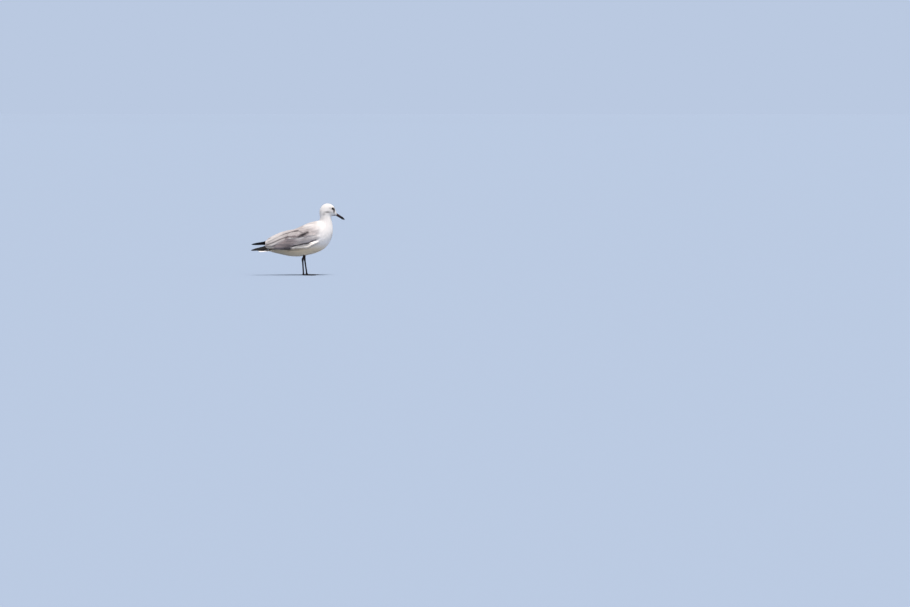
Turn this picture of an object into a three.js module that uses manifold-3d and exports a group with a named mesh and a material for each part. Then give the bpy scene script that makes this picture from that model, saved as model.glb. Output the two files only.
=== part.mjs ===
// A small white-headed gull standing still, life size, in millimetres.
// +X is towards the bill, +Y is the bird's left and +Z is up. The soles stand on z = 0.
// The solids are the outer shape of the plumage. Soft parts are modelled whole and parted with thin cuts.

import * as THREE from "three";
import { LoftGeometry } from "three/addons/geometries/LoftGeometry.js";
import { mergeVertices } from "three/addons/utils/BufferGeometryUtils.js";
import Module from "manifold-3d";

const wasm = await Module();
wasm.setup();

// ---------------------------------------------------------------- driving dimensions

const GAP = 0.3; // between neighbouring pieces
const LEFT = 1;
const RIGHT = -1;

const BODY_RINGS = 39; // along the whole body, from tail root to bill
const BODY_SIDES = 22; // round each ring

const BILL = { length: 33.5, droopDeg: 30, baseX: 131.4, baseZ: 205.8, rootShare: -0.24, faceX: 132 };
const EYE = { radius: 5.6, x: 117.6, y: 8.5, z: 226.4 };

const LEG = { ankleZ: 55, thighZ: 70, soleJointZ: 6, sideY: 19 };
const TOES = [
  { name: "inner", length: 31, spreadDeg: 24 },
  { name: "middle", length: 39.5, spreadDeg: 1 },
  { name: "outer", length: 35.5, spreadDeg: -23 },
];
const TOE_RADIUS = { root: 2.1, tip: 1.35 };
const CLAW = { length: 4.2, radius: 1.15, dropDeg: 22 };
const WEB_THICKNESS = 0.9;

const PRIMARIES = 5; // the long wing feathers that show past the tertials
const PRIMARY_LEAN = 0.75; // how far a long feather leans in, per millimetre of its height
const TAIL = {
  feathers: 12,
  rootX: -74,
  tipX: -137,
  rootZ: 87.4,
  tipZ: 84.6,
  rootHalf: 7.6,
  spreadDeg: 6.5,
  droop: 2.6, // how far the outer feathers lie below the middle ones
};

// Side outline and half width of the body, from tail root to bill base, each row as
// [top x, top z, bottom x, bottom z, half width]. The rump rises between the folded wings.
// Round the breast and the head the sections fan out about the nape and the chin.
const BODY = [
  [-98, 98, -98, 82.5, 10.5], // tail root
  [-80, 125, -81, 76.8, 15], // tail coverts
  [-52, 142.5, -54, 70.8, 26], // rump
  [-22, 152, -25, 64.6, 36], // loins
  [10, 165.8, 7, 64.2, 42], // middle of the back
  [36, 177.6, 38, 69.8, 44.8], // back
  [57, 183.6, 66, 77.8, 44.6], // shoulders
  [67, 185.4, 91.5, 91.6, 41.8], // upper breast
  [71.8, 186.3, 108, 112, 37.2], // breast
  [73.6, 187.4, 117, 135, 32], // front of the breast
  [74.6, 189.4, 119, 156, 27.2], // root of the neck
  [75.4, 193.6, 117.3, 174, 23.4], // neck
  [75.2, 201, 114.2, 187, 20.8], // middle of the neck
  [73.4, 211, 113.4, 195.4, 19.2], // upper neck
  [74.2, 222.5, 114.8, 199.6, 18.6], // nape and throat
  [80.6, 235, 117.8, 201, 17.8], // hind crown
  [92, 242.8, 120.6, 201.5, 16.7], // crown
  [105, 244, 123.4, 201.6, 15.2], // fore crown
  [117, 239.3, 125.8, 201.6, 13.2], // brow
  [124.4, 230.8, 128, 201.6, 10.6], // forehead
  [127.8, 222, 129.8, 201.6, 8.2], // lore
  [130, 214.8, 131, 201.7, 6.2], // feathers over the bill base
  [132, 210.9, 131.8, 202, 4.9], // bill base
];

// A folded wing, seen from the side and from above, each row as
// [x, top z, top y, bottom z, bottom y, widest y, thickness].
const WING = [
  [86, 137, 34, 129, 34, 36, 3],
  [81, 145, 35, 120.5, 36.5, 40, 6],
  [70, 151.5, 36, 113.5, 40, 44.8, 8],
  [50, 155.5, 35.5, 107, 42, 48, 9],
  [28, 157, 33, 102, 42, 48.8, 9],
  [5, 156.2, 28, 97.5, 39.6, 46.6, 8.5],
  [-18, 154.4, 20, 91, 35.5, 41.8, 7.5],
  [-38, 151, 11, 87.6, 30.2, 35.6, 6.5],
  [-58, 145.2, 5, 87, 25, 29, 5.5],
  [-78, 137.4, 2.8, 87.6, 20, 23.4, 4.8],
  [-95, 128.4, 2.6, 89, 16, 18.8, 4],
  [-107, 120.2, 3.2, 91.5, 13, 15.2, 3],
  [-112, 114.5, 4, 96, 11, 12.6, 2],
];

// ---------------------------------------------------------------- materials

const finish = (color, roughness) => new THREE.MeshStandardMaterial({ color, roughness, metalness: 0 });
const WHITE_PLUMAGE = finish(0xf1efec, 0.9);
const GREY_PLUMAGE = finish(0xa9a6a8, 0.85);
const BLACK_PLUMAGE = finish(0x17171a, 0.7);
const BILL_HORN = finish(0x3a1218, 0.4);
const LEG_SCALES = finish(0x3d161d, 0.5);
const CLAW_HORN = finish(0x141012, 0.35);
const EYE_GLOSS = finish(0x0b0807, 0.08);

// ---------------------------------------------------------------- solids and booleans

// A closed three.js geometry as a manifold-3d solid, facing outwards whichever way it was wound.
function solidOf(geometry) {
  const bare = new THREE.BufferGeometry().copy(geometry);
  bare.deleteAttribute("normal");
  bare.deleteAttribute("uv");
  const merged = mergeVertices(bare, 1e-3);
  const corners = merged.index.array;
  const faces = [];
  for (let i = 0; i < corners.length; i += 3) {
    const [a, b, c] = corners.subarray(i, i + 3);
    if (a !== b && b !== c && c !== a) faces.push(a, b, c);
  }
  const build = (triVerts) =>
    new wasm.Manifold(
      new wasm.Mesh({ numProp: 3, vertProperties: merged.attributes.position.array, triVerts }),
    );
  const solid = build(new Uint32Array(faces));
  return solid.volume() > 0 ? solid : build(new Uint32Array(faces.reverse()));
}

// The largest single body of a solid, which drops slivers that a cut has freed.
function mainBody(solid) {
  return solid.decompose().sort((a, b) => b.volume() - a.volume())[0];
}

function geometryOf(solid) {
  const mesh = solid.getMesh();
  const geometry = new THREE.BufferGeometry();
  const places = new Float32Array(mesh.numVert * 3);
  for (let i = 0; i < mesh.numVert; i++) {
    places.set(mesh.vertProperties.subarray(i * mesh.numProp, i * mesh.numProp + 3), i * 3);
  }
  geometry.setAttribute("position", new THREE.BufferAttribute(places, 3));
  geometry.setIndex(new THREE.BufferAttribute(mesh.triVerts, 1));
  geometry.computeVertexNormals();
  return geometry;
}

function meshOf(name, solid, material) {
  const mesh = new THREE.Mesh(geometryOf(mainBody(solid)), material);
  mesh.name = name;
  return mesh;
}

const joined = (solids) => solids.reduce((all, next) => all.add(next));

// A capped loft, whichever way round its sections were listed.
function loft(sections) {
  const sumOf = (ring) => ring.reduce((sum, p) => sum.add(p), new THREE.Vector3());
  const middleOf = (ring) => sumOf(ring).divideScalar(ring.length);
  const [first, second] = sections;
  const facing = new THREE.Vector3();
  first.forEach((p, i) => {
    const next = first[(i + 1) % first.length];
    facing.add(new THREE.Vector3().crossVectors(p, next));
  });
  const onwards = middleOf(second).sub(middleOf(first));
  const ordered = facing.dot(onwards) < 0 ? sections.map((ring) => [...ring].reverse()) : sections;
  return solidOf(new LoftGeometry(ordered, { capStart: true, capEnd: true }));
}

// Everything on the side of a plane that the normal points to, as a large box.
function halfSpace(point, normal) {
  const size = 800;
  const box = new THREE.BoxGeometry(size, size, size);
  box.translate(0, 0, size / 2);
  const turn = new THREE.Quaternion().setFromUnitVectors(new THREE.Vector3(0, 0, 1), normal);
  box.applyQuaternion(turn);
  box.translate(point.x, point.y, point.z);
  return solidOf(box);
}

// Parts a solid along a plane with a thin cut, into what lies ahead of the plane and what lies behind.
function parted(solid, point, normal) {
  const half = normal.clone().multiplyScalar(GAP / 2);
  const ahead = solid.intersect(halfSpace(point.clone().add(half), normal));
  const behind = solid.intersect(halfSpace(point.clone().sub(half), normal.clone().negate()));
  return [ahead, behind];
}

const above = (z) => halfSpace(new THREE.Vector3(0, 0, z), new THREE.Vector3(0, 0, 1));
const below = (z) => halfSpace(new THREE.Vector3(0, 0, z), new THREE.Vector3(0, 0, -1));
const aboveFloor = above(0);

// A point on a closed superellipse, as [across, up] shares of the half width and half height.
function ringShare(angle, power = 2) {
  const c = Math.cos(angle);
  const s = Math.sin(angle);
  return [Math.sign(s) * Math.abs(s) ** (2 / power), Math.sign(c) * Math.abs(c) ** (2 / power)];
}

// A smooth function of 0 to 1 through rows of numbers.
function through(rows) {
  const width = rows[0].length;
  const curves = [];
  for (let k = 0; k < width; k += 3) {
    const points = rows.map((row) => new THREE.Vector3(row[k], row[k + 1] ?? 0, row[k + 2] ?? 0));
    curves.push(new THREE.CatmullRomCurve3(points, false, "catmullrom", 0.5));
  }
  return (share) => curves.flatMap((curve) => curve.getPoint(share).toArray()).slice(0, width);
}

// A rod along a line of points, with its own depth and width at each: [point, depth, width].
function rod(stations, sides = 10) {
  const sections = stations.map(([point, depth, width], i) => {
    const ahead = stations[Math.min(i + 1, stations.length - 1)][0];
    const back = stations[Math.max(i - 1, 0)][0];
    const along = ahead.clone().sub(back).normalize();
    const side = new THREE.Vector3(0, 1, 0);
    const out = new THREE.Vector3().crossVectors(along, side).normalize();
    side.crossVectors(out, along).normalize();
    return Array.from({ length: sides }, (_, j) => {
      const [across, up] = ringShare((j / sides) * 2 * Math.PI);
      return point.clone().addScaledVector(side, across * width).addScaledVector(out, up * depth);
    });
  });
  return loft(sections);
}

// ---------------------------------------------------------------- trunk, neck and head

const bodyAt = through(BODY);

function bodySection(share) {
  const [topX, topZ, bottomX, bottomZ, halfWidth] = bodyAt(share);
  const top = new THREE.Vector3(topX, 0, topZ);
  const bottom = new THREE.Vector3(bottomX, 0, bottomZ);
  const middle = top.clone().add(bottom).multiplyScalar(0.5);
  const up = top.clone().sub(middle);
  return Array.from({ length: BODY_SIDES }, (_, i) => {
    const [across, height] = ringShare((i / BODY_SIDES) * 2 * Math.PI, 2.15);
    const point = middle.clone().addScaledVector(up, height);
    point.y = across * halfWidth;
    return point;
  });
}

function wholeBody() {
  const sections = Array.from({ length: BODY_RINGS }, (_, i) => bodySection(i / (BODY_RINGS - 1)));
  return loft(sections);
}

// The plane of the body section at a station, facing the bill.
function planeAt(station) {
  const [topX, topZ, bottomX, bottomZ] = BODY[station];
  const point = new THREE.Vector3((topX + bottomX) / 2, 0, (topZ + bottomZ) / 2);
  const normal = new THREE.Vector3(topZ - bottomZ, 0, bottomX - topX).normalize();
  return [point, normal];
}

// ---------------------------------------------------------------- bill

// Outline of the closed bill in its own frame: along the bill, and up from the line of the mouth.
const CULMEN = [
  [BILL.rootShare, 5.5],
  [0, 5.1],
  [0.25, 4.8],
  [0.5, 4.4],
  [0.7, 3.7],
  [0.86, 2.3],
  [0.96, 0.2],
  [1, -1.4],
];
const GONYS = [
  [BILL.rootShare, -4.3],
  [0, -4.1],
  [0.25, -4],
  [0.5, -4],
  [0.66, -4.3],
  [0.8, -3.7],
  [0.9, -2.8],
  [0.95, -1.9],
];
const billHalfWidth = (along) => 4.5 * Math.max(0, 1 - along) ** 0.62 * (1 - 0.25 * along) + 0.4;

function inBillFrame(along, across, up) {
  const droop = THREE.MathUtils.degToRad(BILL.droopDeg);
  const length = along * BILL.length;
  return new THREE.Vector3(
    BILL.baseX + length * Math.cos(droop) + up * Math.sin(droop),
    across,
    BILL.baseZ - length * Math.sin(droop) + up * Math.cos(droop),
  );
}

// The line where the mandibles meet, which turns down towards the hooked tip.
const mouthLine = (along) => -2.1 * Math.max(0, along - 0.55) ** 1.6 * 2.2;

function mandible(outline, sign) {
  const outer = through(outline);
  const rings = 12;
  const sides = 10;
  const sections = Array.from({ length: rings }, (_, i) => {
    const [along, edge] = outer(i / (rings - 1));
    const mouth = mouthLine(along) + (sign * GAP) / 2;
    const height = Math.max(0.45, sign * (edge - mouth));
    const width = billHalfWidth(along) * (sign < 0 ? 0.86 : 1);
    return Array.from({ length: sides }, (_, j) => {
      const turn = (j / (sides - 1)) * Math.PI;
      return inBillFrame(along, width * Math.cos(turn), mouth + sign * height * Math.sin(turn) ** 0.85);
    });
  });
  return loft(sections);
}

// ---------------------------------------------------------------- folded wings

const wingAt = through(WING);

// A closed ring of [y, z] pairs moved outwards all round by the same amount.
function widened(ring, by) {
  const area = ring.reduce((sum, [y, z], i) => {
    const [nextY, nextZ] = ring[(i + 1) % ring.length];
    return sum + y * nextZ - nextY * z;
  }, 0);
  return ring.map(([y, z], i) => {
    const [backY, backZ] = ring[(i + ring.length - 1) % ring.length];
    const [nextY, nextZ] = ring[(i + 1) % ring.length];
    const before = new THREE.Vector2(z - backZ, backY - y).normalize();
    const after = new THREE.Vector2(nextZ - z, y - nextY).normalize();
    const out = before.clone().add(after).normalize().multiplyScalar(Math.sign(area));
    const reach = by / Math.max(0.45, Math.abs(out.dot(after)));
    return [y + out.x * reach, z + out.y * reach];
  });
}

// One closed shell per wing. Grow widens it all round, to cut its seat in the trunk.
function wing(side, grow = 0) {
  const rings = 21;
  const steps = 7;
  const sections = Array.from({ length: rings }, (_, i) => {
    const share = i / (rings - 1);
    const [x, topZ, topY, bottomZ, bottomY, widestY, thickness] = wingAt(share);
    const isEnd = i === 0 || i === rings - 1;
    const along = x + (isEnd ? grow * Math.sign(0.5 - share) : 0);
    const row = (inner) =>
      Array.from({ length: steps }, (_, j) => {
        const down = j / (steps - 1);
        const swell = Math.sin(Math.PI * down) ** 0.75;
        const edgeY = THREE.MathUtils.lerp(topY, bottomY, down);
        const bulge = widestY - (topY + bottomY) / 2;
        const depth = inner ? 1 + (thickness - 1) * swell : 0;
        return [side * (edgeY + bulge * swell - depth), THREE.MathUtils.lerp(topZ, bottomZ, down)];
      });
    const ring = [...row(false), ...row(true).reverse()];
    return widened(ring, grow).map(([y, z]) => new THREE.Vector3(along, y, z));
  });
  return loft(sections);
}

// One long wing feather as a thin blade, bent in towards the tail and leaning in with its upper edge.
function primary(side, order, tip) {
  const back = order / (PRIMARIES - 1); // 0 for the outermost feather, which is the longest and lowest
  const reach = tip.reach * (1 - 0.24 * back ** 1.15);
  const rootX = -92;
  const rings = 6;
  const sections = Array.from({ length: rings }, (_, i) => {
    const share = i / (rings - 1);
    const x = rootX - (reach + rootX) * share;
    const height = 5 * (1 - share ** 3) ** 0.6 + 0.5;
    const step = 3.2 * back * (1 - share);
    const z = THREE.MathUtils.lerp(tip.rootZ + 3.8 * back, tip.tipZ, share ** 1.15) + step;
    const y = THREE.MathUtils.lerp(tip.rootY - 1.4 * back, tip.tipY, share) - 0.5 * back;
    const corner = (out, rise) => {
      return new THREE.Vector3(x, side * (y + out - PRIMARY_LEAN * rise), z + rise);
    };
    return [
      corner(0.5, height * 0.1),
      corner(-0.3, height),
      corner(-0.95, height * 0.9),
      corner(-0.5, 0),
      corner(-0.35, -height),
      corner(0.3, -height * 0.95),
    ];
  });
  return loft(sections);
}

const WING_TIPS = {
  right: { side: RIGHT, reach: 159.6, rootY: 12.4, tipY: 8.4, rootZ: 98.4, tipZ: 85 },
  left: { side: LEFT, reach: 158, rootY: 12.4, tipY: 7.4, rootZ: 111.8, tipZ: 104.8 },
};

function wingTip(tip) {
  const blades = Array.from({ length: PRIMARIES }, (_, order) => primary(tip.side, order, tip));
  return joined(blades);
}

// ---------------------------------------------------------------- tail

function tailFeather(order) {
  const half = (TAIL.feathers - 1) / 2;
  const out = (order - half) / half; // -1 to 1 across the tail
  const spread = THREE.MathUtils.degToRad(TAIL.spreadDeg) * out;
  const length = (TAIL.rootX - TAIL.tipX) * (1 - 0.05 * out * out);
  const rings = 3;
  const sections = Array.from({ length: rings }, (_, i) => {
    const share = i / (rings - 1);
    const width = 4.4 * (0.7 + 0.5 * share) * (1 - share ** 7 * 0.45);
    const x = TAIL.rootX - length * share * Math.cos(spread);
    const y = TAIL.rootHalf * out + length * share * Math.sin(spread);
    const z = THREE.MathUtils.lerp(TAIL.rootZ, TAIL.tipZ, share) - TAIL.droop * out * out;
    const fan = TAIL.rootHalf + length * share * Math.sin(THREE.MathUtils.degToRad(TAIL.spreadDeg));
    const lean = Math.atan((2 * TAIL.droop * out) / fan); // each feather lies along the arch
    const corner = (across, up) => {
      const aside = across * Math.cos(lean) + up * Math.sin(lean);
      return new THREE.Vector3(x, y + aside, z - across * Math.sin(lean) + up * Math.cos(lean));
    };
    return [corner(-width, 0), corner(0, -0.4), corner(width, 0), corner(0, 0.8)];
  });
  return loft(sections);
}

function tail() {
  return joined(Array.from({ length: TAIL.feathers }, (_, order) => tailFeather(order)));
}

// ---------------------------------------------------------------- legs and webbed feet

const STANCE = {
  right: { side: RIGHT, thighX: 21.6, ankleX: 15.9, footX: 19, toeOutDeg: 7 },
  left: { side: LEFT, thighX: 24.6, ankleX: 22.9, footX: 30.2, toeOutDeg: 5 },
};

const at = (x, y, z) => new THREE.Vector3(x, y, z);

function thigh(stance, grow = 0) {
  const y = stance.side * (LEG.sideY + 1);
  const x = stance.thighX;
  return rod(
    [
      [at(x + 12, y * 1.05, LEG.thighZ + 28), 12 + grow, 9 + grow],
      [at(x + 8, y * 1.04, LEG.thighZ + 18), 11.5 + grow, 9 + grow],
      [at(x + 3.5, y * 1.02, LEG.thighZ + 8), 8 + grow, 7 + grow],
      [at(x + 1, y, LEG.thighZ + 2.5), 4.8 + grow, 4.4 + grow],
      [at(x, y, LEG.thighZ - 2), 2.9 + grow, 2.7 + grow],
    ],
    12,
  ).intersect(above(LEG.thighZ - grow));
}

// Bare shin, ankle and the long scaled foot bone down to the toes.
function shank(stance) {
  const y = stance.side * LEG.sideY;
  const foot = at(stance.footX, y, LEG.soleJointZ - 2);
  const ankle = at(stance.ankleX, y, LEG.ankleZ);
  const knee = at(stance.thighX, stance.side * (LEG.sideY + 1), LEG.thighZ + 2);
  const down = (share) => ankle.clone().lerp(foot, share);
  const up = (share) => ankle.clone().lerp(knee, share);
  return rod([
    [foot, 3, 2.7],
    [down(0.95), 2.9, 2.4],
    [down(0.85), 2.65, 1.85],
    [down(0.5), 2.55, 1.7],
    [down(0.2), 2.75, 1.85],
    [down(0.07), 3.4, 2.5],
    [ankle, 3.7, 2.8],
    [up(0.15), 3.3, 2.5],
    [up(0.35), 2.7, 2.15],
    [knee, 2.6, 2.2],
  ])
    .intersect(above(LEG.soleJointZ))
    .intersect(below(LEG.thighZ - GAP));
}

const toeHeading = (stance, toe) =>
  THREE.MathUtils.degToRad(stance.side * (stance.toeOutDeg - toe.spreadDeg));

// A point along a toe: the toe comes down from the joint and then lies along the floor.
function toePoint(stance, toe, share) {
  const heading = toeHeading(stance, toe);
  const reach = toe.length * share;
  const radius = THREE.MathUtils.lerp(TOE_RADIUS.root, TOE_RADIUS.tip, share);
  const rise = 3.1 * Math.max(0, 1 - share / 0.22) ** 2;
  return at(
    stance.footX + reach * Math.cos(heading),
    stance.side * LEG.sideY + reach * Math.sin(heading),
    radius * 0.72 + rise,
  );
}

function toe(stance, which) {
  const rings = 8;
  const joints = which.name === "inner" ? 2 : 3;
  const stations = Array.from({ length: rings }, (_, i) => {
    const share = i / (rings - 1);
    const knuckle = 1 + 0.16 * Math.cos(share * joints * 2 * Math.PI);
    const radius = THREE.MathUtils.lerp(TOE_RADIUS.root, TOE_RADIUS.tip, share) * knuckle;
    return [toePoint(stance, which, share), radius, radius * 0.95];
  });
  return rod(stations, 7);
}

// The webs, with edges that curve in between the tips of the toes.
function web(stance) {
  const outline = new THREE.Shape();
  const joint = at(stance.footX, stance.side * LEG.sideY, 0);
  const tips = TOES.map((which) => toePoint(stance, which, 0.93));
  outline.moveTo(joint.x, joint.y);
  outline.lineTo(tips[0].x, tips[0].y);
  for (let i = 1; i < tips.length; i++) {
    const middle = tips[i - 1].clone().add(tips[i]).multiplyScalar(0.5);
    const inwards = middle.lerp(joint, 0.3);
    outline.quadraticCurveTo(inwards.x, inwards.y, tips[i].x, tips[i].y);
  }
  outline.closePath();
  const settings = { depth: WEB_THICKNESS, bevelEnabled: false, curveSegments: 5 };
  return solidOf(new THREE.ExtrudeGeometry(outline, settings));
}

function hindToe(stance) {
  const y = stance.side * LEG.sideY;
  return rod(
    [
      [at(stance.footX + 0.5, y, 5.2), 1.5, 1.3],
      [at(stance.footX - 3, y - stance.side * 0.8, 4.1), 1.25, 1.1],
      [at(stance.footX - 6, y - stance.side * 1.4, 2.7), 0.95, 0.85],
    ],
    8,
  );
}

function webbedFoot(stance) {
  const y = stance.side * LEG.sideY;
  const pad = rod([
    [at(stance.footX, y, LEG.soleJointZ + 2), 3, 2.6],
    [at(stance.footX + 0.4, y, 3.4), 3.1, 2.8],
    [at(stance.footX + 0.8, y, -0.5), 2.7, 2.5],
  ]);
  const toes = TOES.map((which) => toe(stance, which));
  return joined([pad, web(stance), hindToe(stance), ...toes])
    .intersect(aboveFloor)
    .intersect(below(LEG.soleJointZ - GAP));
}

// A claw at the tip of a toe, laid along the toe and turned down to the floor.
function claw(tip, heading, size = 1) {
  const drop = THREE.MathUtils.degToRad(CLAW.dropDeg);
  const length = CLAW.length * size;
  const stations = [0, 0.35, 0.7, 1].map((share) => {
    const reach = length * share;
    const point = at(
      tip.x + reach * Math.cos(heading) * Math.cos(drop * share),
      tip.y + reach * Math.sin(heading) * Math.cos(drop * share),
      tip.z - reach * Math.sin(drop * share) * share,
    );
    const radius = CLAW.radius * size * (1 - 0.72 * share);
    return [point, radius, radius * 0.8];
  });
  return rod(stations, 6).intersect(aboveFloor);
}

function footClaws(stance) {
  const claws = TOES.map((which) => {
    const heading = toeHeading(stance, which);
    const clearance = at(Math.cos(heading), Math.sin(heading), 0).multiplyScalar(GAP);
    const tip = toePoint(stance, which, 1).add(clearance);
    return [which.name, claw(tip, heading)];
  });
  const hind = at(stance.footX - 6.3, stance.side * (LEG.sideY - 1.47), 2.55);
  return [...claws, ["hind", claw(hind, Math.PI + stance.side * 0.22, 0.6)]];
}

// ---------------------------------------------------------------- assembly

function buildTrunkAndWings(group, lowerBody, thighs) {
  const tailSolid = tail();
  const tailSeat = halfSpace(at(TAIL.rootX - 9, 0, 0), at(-1, 0, 0));
  let trunk = lowerBody.subtract(tailSeat);
  for (const side of [RIGHT, LEFT]) trunk = trunk.subtract(wing(side, GAP));
  for (const seat of thighs) trunk = trunk.subtract(seat);
  group.add(meshOf("trunk", trunk, WHITE_PLUMAGE));

  const tailCut = halfSpace(at(TAIL.rootX - 9 - GAP, 0, 0), at(-1, 0, 0));
  const coverts = lowerBody.intersect(tailCut).subtract(wing(RIGHT, GAP)).subtract(wing(LEFT, GAP));
  group.add(meshOf("tail", coverts.add(tailSolid.intersect(tailCut)), WHITE_PLUMAGE));

  for (const [name, tip] of Object.entries(WING_TIPS)) {
    const shell = wing(tip.side);
    const seats = wing(tip.side, 2 * GAP);
    group.add(meshOf(`wing_${name}`, shell, GREY_PLUMAGE));
    const blades = wingTip(tip).subtract(seats).intersect(halfSpace(at(-107, 0, 0), at(-1, 0, 0)));
    group.add(meshOf(`wing_tip_${name}`, blades, BLACK_PLUMAGE));
  }
}

function buildHead(group, headSolid) {
  const head = new THREE.Group();
  let socketed = headSolid;
  for (const [name, side] of [["right", RIGHT], ["left", LEFT]]) {
    const socket = new THREE.SphereGeometry(EYE.radius + GAP, 12, 7);
    socket.translate(EYE.x, side * EYE.y, EYE.z);
    socketed = socketed.subtract(solidOf(socket));
    const eyeball = new THREE.SphereGeometry(EYE.radius, 14, 9);
    const eye = new THREE.Mesh(geometryOf(solidOf(eyeball)), EYE_GLOSS);
    eye.name = `eye_${name}`;
    eye.position.set(EYE.x, side * EYE.y, EYE.z);
    head.add(eye);
  }
  const face = halfSpace(at(BILL.faceX + GAP, 0, BILL.baseZ), at(1, 0, 0));
  head.add(meshOf("head", socketed, WHITE_PLUMAGE));
  head.add(meshOf("bill_upper", mandible(CULMEN, 1).intersect(face), BILL_HORN));
  head.add(meshOf("bill_lower", mandible(GONYS, -1).intersect(face), BILL_HORN));
  group.add(head);
}

function buildLegs(group) {
  for (const [name, stance] of Object.entries(STANCE)) {
    const leg = new THREE.Group();
    leg.add(meshOf(`thigh_${name}`, thigh(stance), WHITE_PLUMAGE));
    leg.add(meshOf(`shank_${name}`, shank(stance), LEG_SCALES));
    leg.add(meshOf(`foot_${name}`, webbedFoot(stance), LEG_SCALES));
    for (const [toeName, solid] of footClaws(stance)) {
      leg.add(meshOf(`claw_${name}_${toeName}`, solid, CLAW_HORN));
    }
    group.add(leg);
  }
}

const NECK_STATION = 10;
const HEAD_STATION = 14;

const gull = new THREE.Group();
const [aboveTrunk, lowerBody] = parted(wholeBody(), ...planeAt(NECK_STATION));
const [headSolid, neckSolid] = parted(aboveTrunk, ...planeAt(HEAD_STATION));
gull.add(meshOf("neck", neckSolid, WHITE_PLUMAGE));
buildHead(gull, headSolid);
buildTrunkAndWings(gull, lowerBody, Object.values(STANCE).map((stance) => thigh(stance, GAP)));
buildLegs(gull);

// The origin is on the floor, under the middle of the bird's box.
const box = new THREE.Box3().setFromObject(gull);
const middle = box.getCenter(new THREE.Vector3());
gull.position.set(-middle.x, -middle.y, -box.min.z);

export default gull;
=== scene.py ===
import itertools
import math

import bmesh
import bpy
import numpy as np
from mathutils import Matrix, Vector
from mathutils.bvhtree import BVHTree


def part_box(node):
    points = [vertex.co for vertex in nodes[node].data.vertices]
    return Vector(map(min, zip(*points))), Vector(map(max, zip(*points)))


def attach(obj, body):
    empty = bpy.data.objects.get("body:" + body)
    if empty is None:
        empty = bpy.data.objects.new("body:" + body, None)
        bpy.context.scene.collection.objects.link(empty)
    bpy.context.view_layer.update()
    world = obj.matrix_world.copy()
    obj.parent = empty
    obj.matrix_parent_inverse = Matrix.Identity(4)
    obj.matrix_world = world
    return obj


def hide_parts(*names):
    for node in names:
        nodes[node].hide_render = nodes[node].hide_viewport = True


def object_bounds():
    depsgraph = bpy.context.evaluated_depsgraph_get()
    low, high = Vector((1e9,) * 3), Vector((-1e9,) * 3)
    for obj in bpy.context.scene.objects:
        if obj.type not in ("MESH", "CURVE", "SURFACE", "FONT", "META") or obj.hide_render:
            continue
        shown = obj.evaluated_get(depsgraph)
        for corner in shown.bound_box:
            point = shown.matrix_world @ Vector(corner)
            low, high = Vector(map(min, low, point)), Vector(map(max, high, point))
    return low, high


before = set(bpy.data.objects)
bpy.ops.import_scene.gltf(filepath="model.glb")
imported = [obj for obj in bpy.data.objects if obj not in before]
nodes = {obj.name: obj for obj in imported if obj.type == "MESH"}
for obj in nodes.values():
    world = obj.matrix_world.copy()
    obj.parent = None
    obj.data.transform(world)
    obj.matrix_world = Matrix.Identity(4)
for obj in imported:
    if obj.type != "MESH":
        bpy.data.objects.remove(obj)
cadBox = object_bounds()
chance = np.random.default_rng(41)
mm = 0.001
signOf = {"right": -1, "left": 1}  # the side's direction along y


# shader helper: wires with operators

class Wire:
    def __init__(self, finish, socket):
        self.finish = finish
        self.socket = socket

    def maths(self, operation, *values):
        return self.finish.add("ShaderNodeMath", {"operation": operation}, dict(enumerate(values)))

    def __add__(self, other): return self.maths("ADD", self, other)
    def __radd__(self, other): return self.maths("ADD", other, self)
    def __sub__(self, other): return self.maths("SUBTRACT", self, other)
    def __rsub__(self, other): return self.maths("SUBTRACT", other, self)
    def __mul__(self, other): return self.maths("MULTIPLY", self, other)
    def __rmul__(self, other): return self.maths("MULTIPLY", other, self)
    def __abs__(self): return self.maths("ABSOLUTE", self)
    def clamp(self): return self.finish.add("ShaderNodeClamp", {}, {0: self, 1: 0.0, 2: 1.0})

    def ramp(self, low, high):
        # 0 below low, 1 above high, smooth between
        settings = {"interpolation_type": "SMOOTHSTEP"}
        return self.finish.add("ShaderNodeMapRange", settings, {0: self, 1: low, 2: high})


class Finish:
    def __init__(self, name):
        self.material = bpy.data.materials.new(name)
        self.material.use_nodes = True
        self.tree = self.material.node_tree
        self.shader = self.tree.nodes["Principled BSDF"]

    def add(self, kind, settings=None, sockets=None, output=0):
        node = self.tree.nodes.new(kind)
        for key, value in (settings or {}).items():
            setattr(node, key, value)
        for key, value in (sockets or {}).items():
            self.plug(node.inputs[key], value)
        return Wire(self, node.outputs[output])

    def plug(self, socket, value):
        if isinstance(value, Wire):
            self.tree.links.new(value.socket, socket)
        else:
            socket.default_value = value

    def mix(self, factor, first, second):
        return self.add("ShaderNodeMix", {"data_type": "RGBA"}, {0: factor, 6: first, 7: second}, output=2)

    def reading(self, name, output=2):
        return self.add("ShaderNodeAttribute", {"attribute_name": name}, output=output)

    def noise(self, scale, detail):
        return self.add("ShaderNodeTexNoise", {}, {"Scale": scale, "Detail": detail})

    def bump(self, height, strength, distance):
        return self.add("ShaderNodeBump", {}, {"Height": height, "Strength": strength, "Distance": distance})

    def set(self, **sockets):
        for key, value in sockets.items():
            self.plug(self.shader.inputs[key.replace("_", " ")], value)
        return self.material


def linear(red, green, blue):
    # sRGB 0 to 255 as linear light with alpha
    def one(value):
        share = value / 255
        return share / 12.92 if share <= 0.04045 else ((share + 0.055) / 1.055) ** 2.4
    return (one(red), one(green), one(blue), 1.0)


# meshes from the frame's solids

def perVertex(mesh, key="co"):
    values = np.empty(len(mesh.vertices) * 3)
    mesh.vertices.foreach_get(key, values)
    return values.reshape(-1, 3)


def trianglesOf(mesh):
    mesh.calc_loop_triangles()
    corners = np.empty(len(mesh.loop_triangles) * 3, dtype=np.int64)
    mesh.loop_triangles.foreach_get("vertices", corners)
    return corners.reshape(-1, 3)


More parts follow.
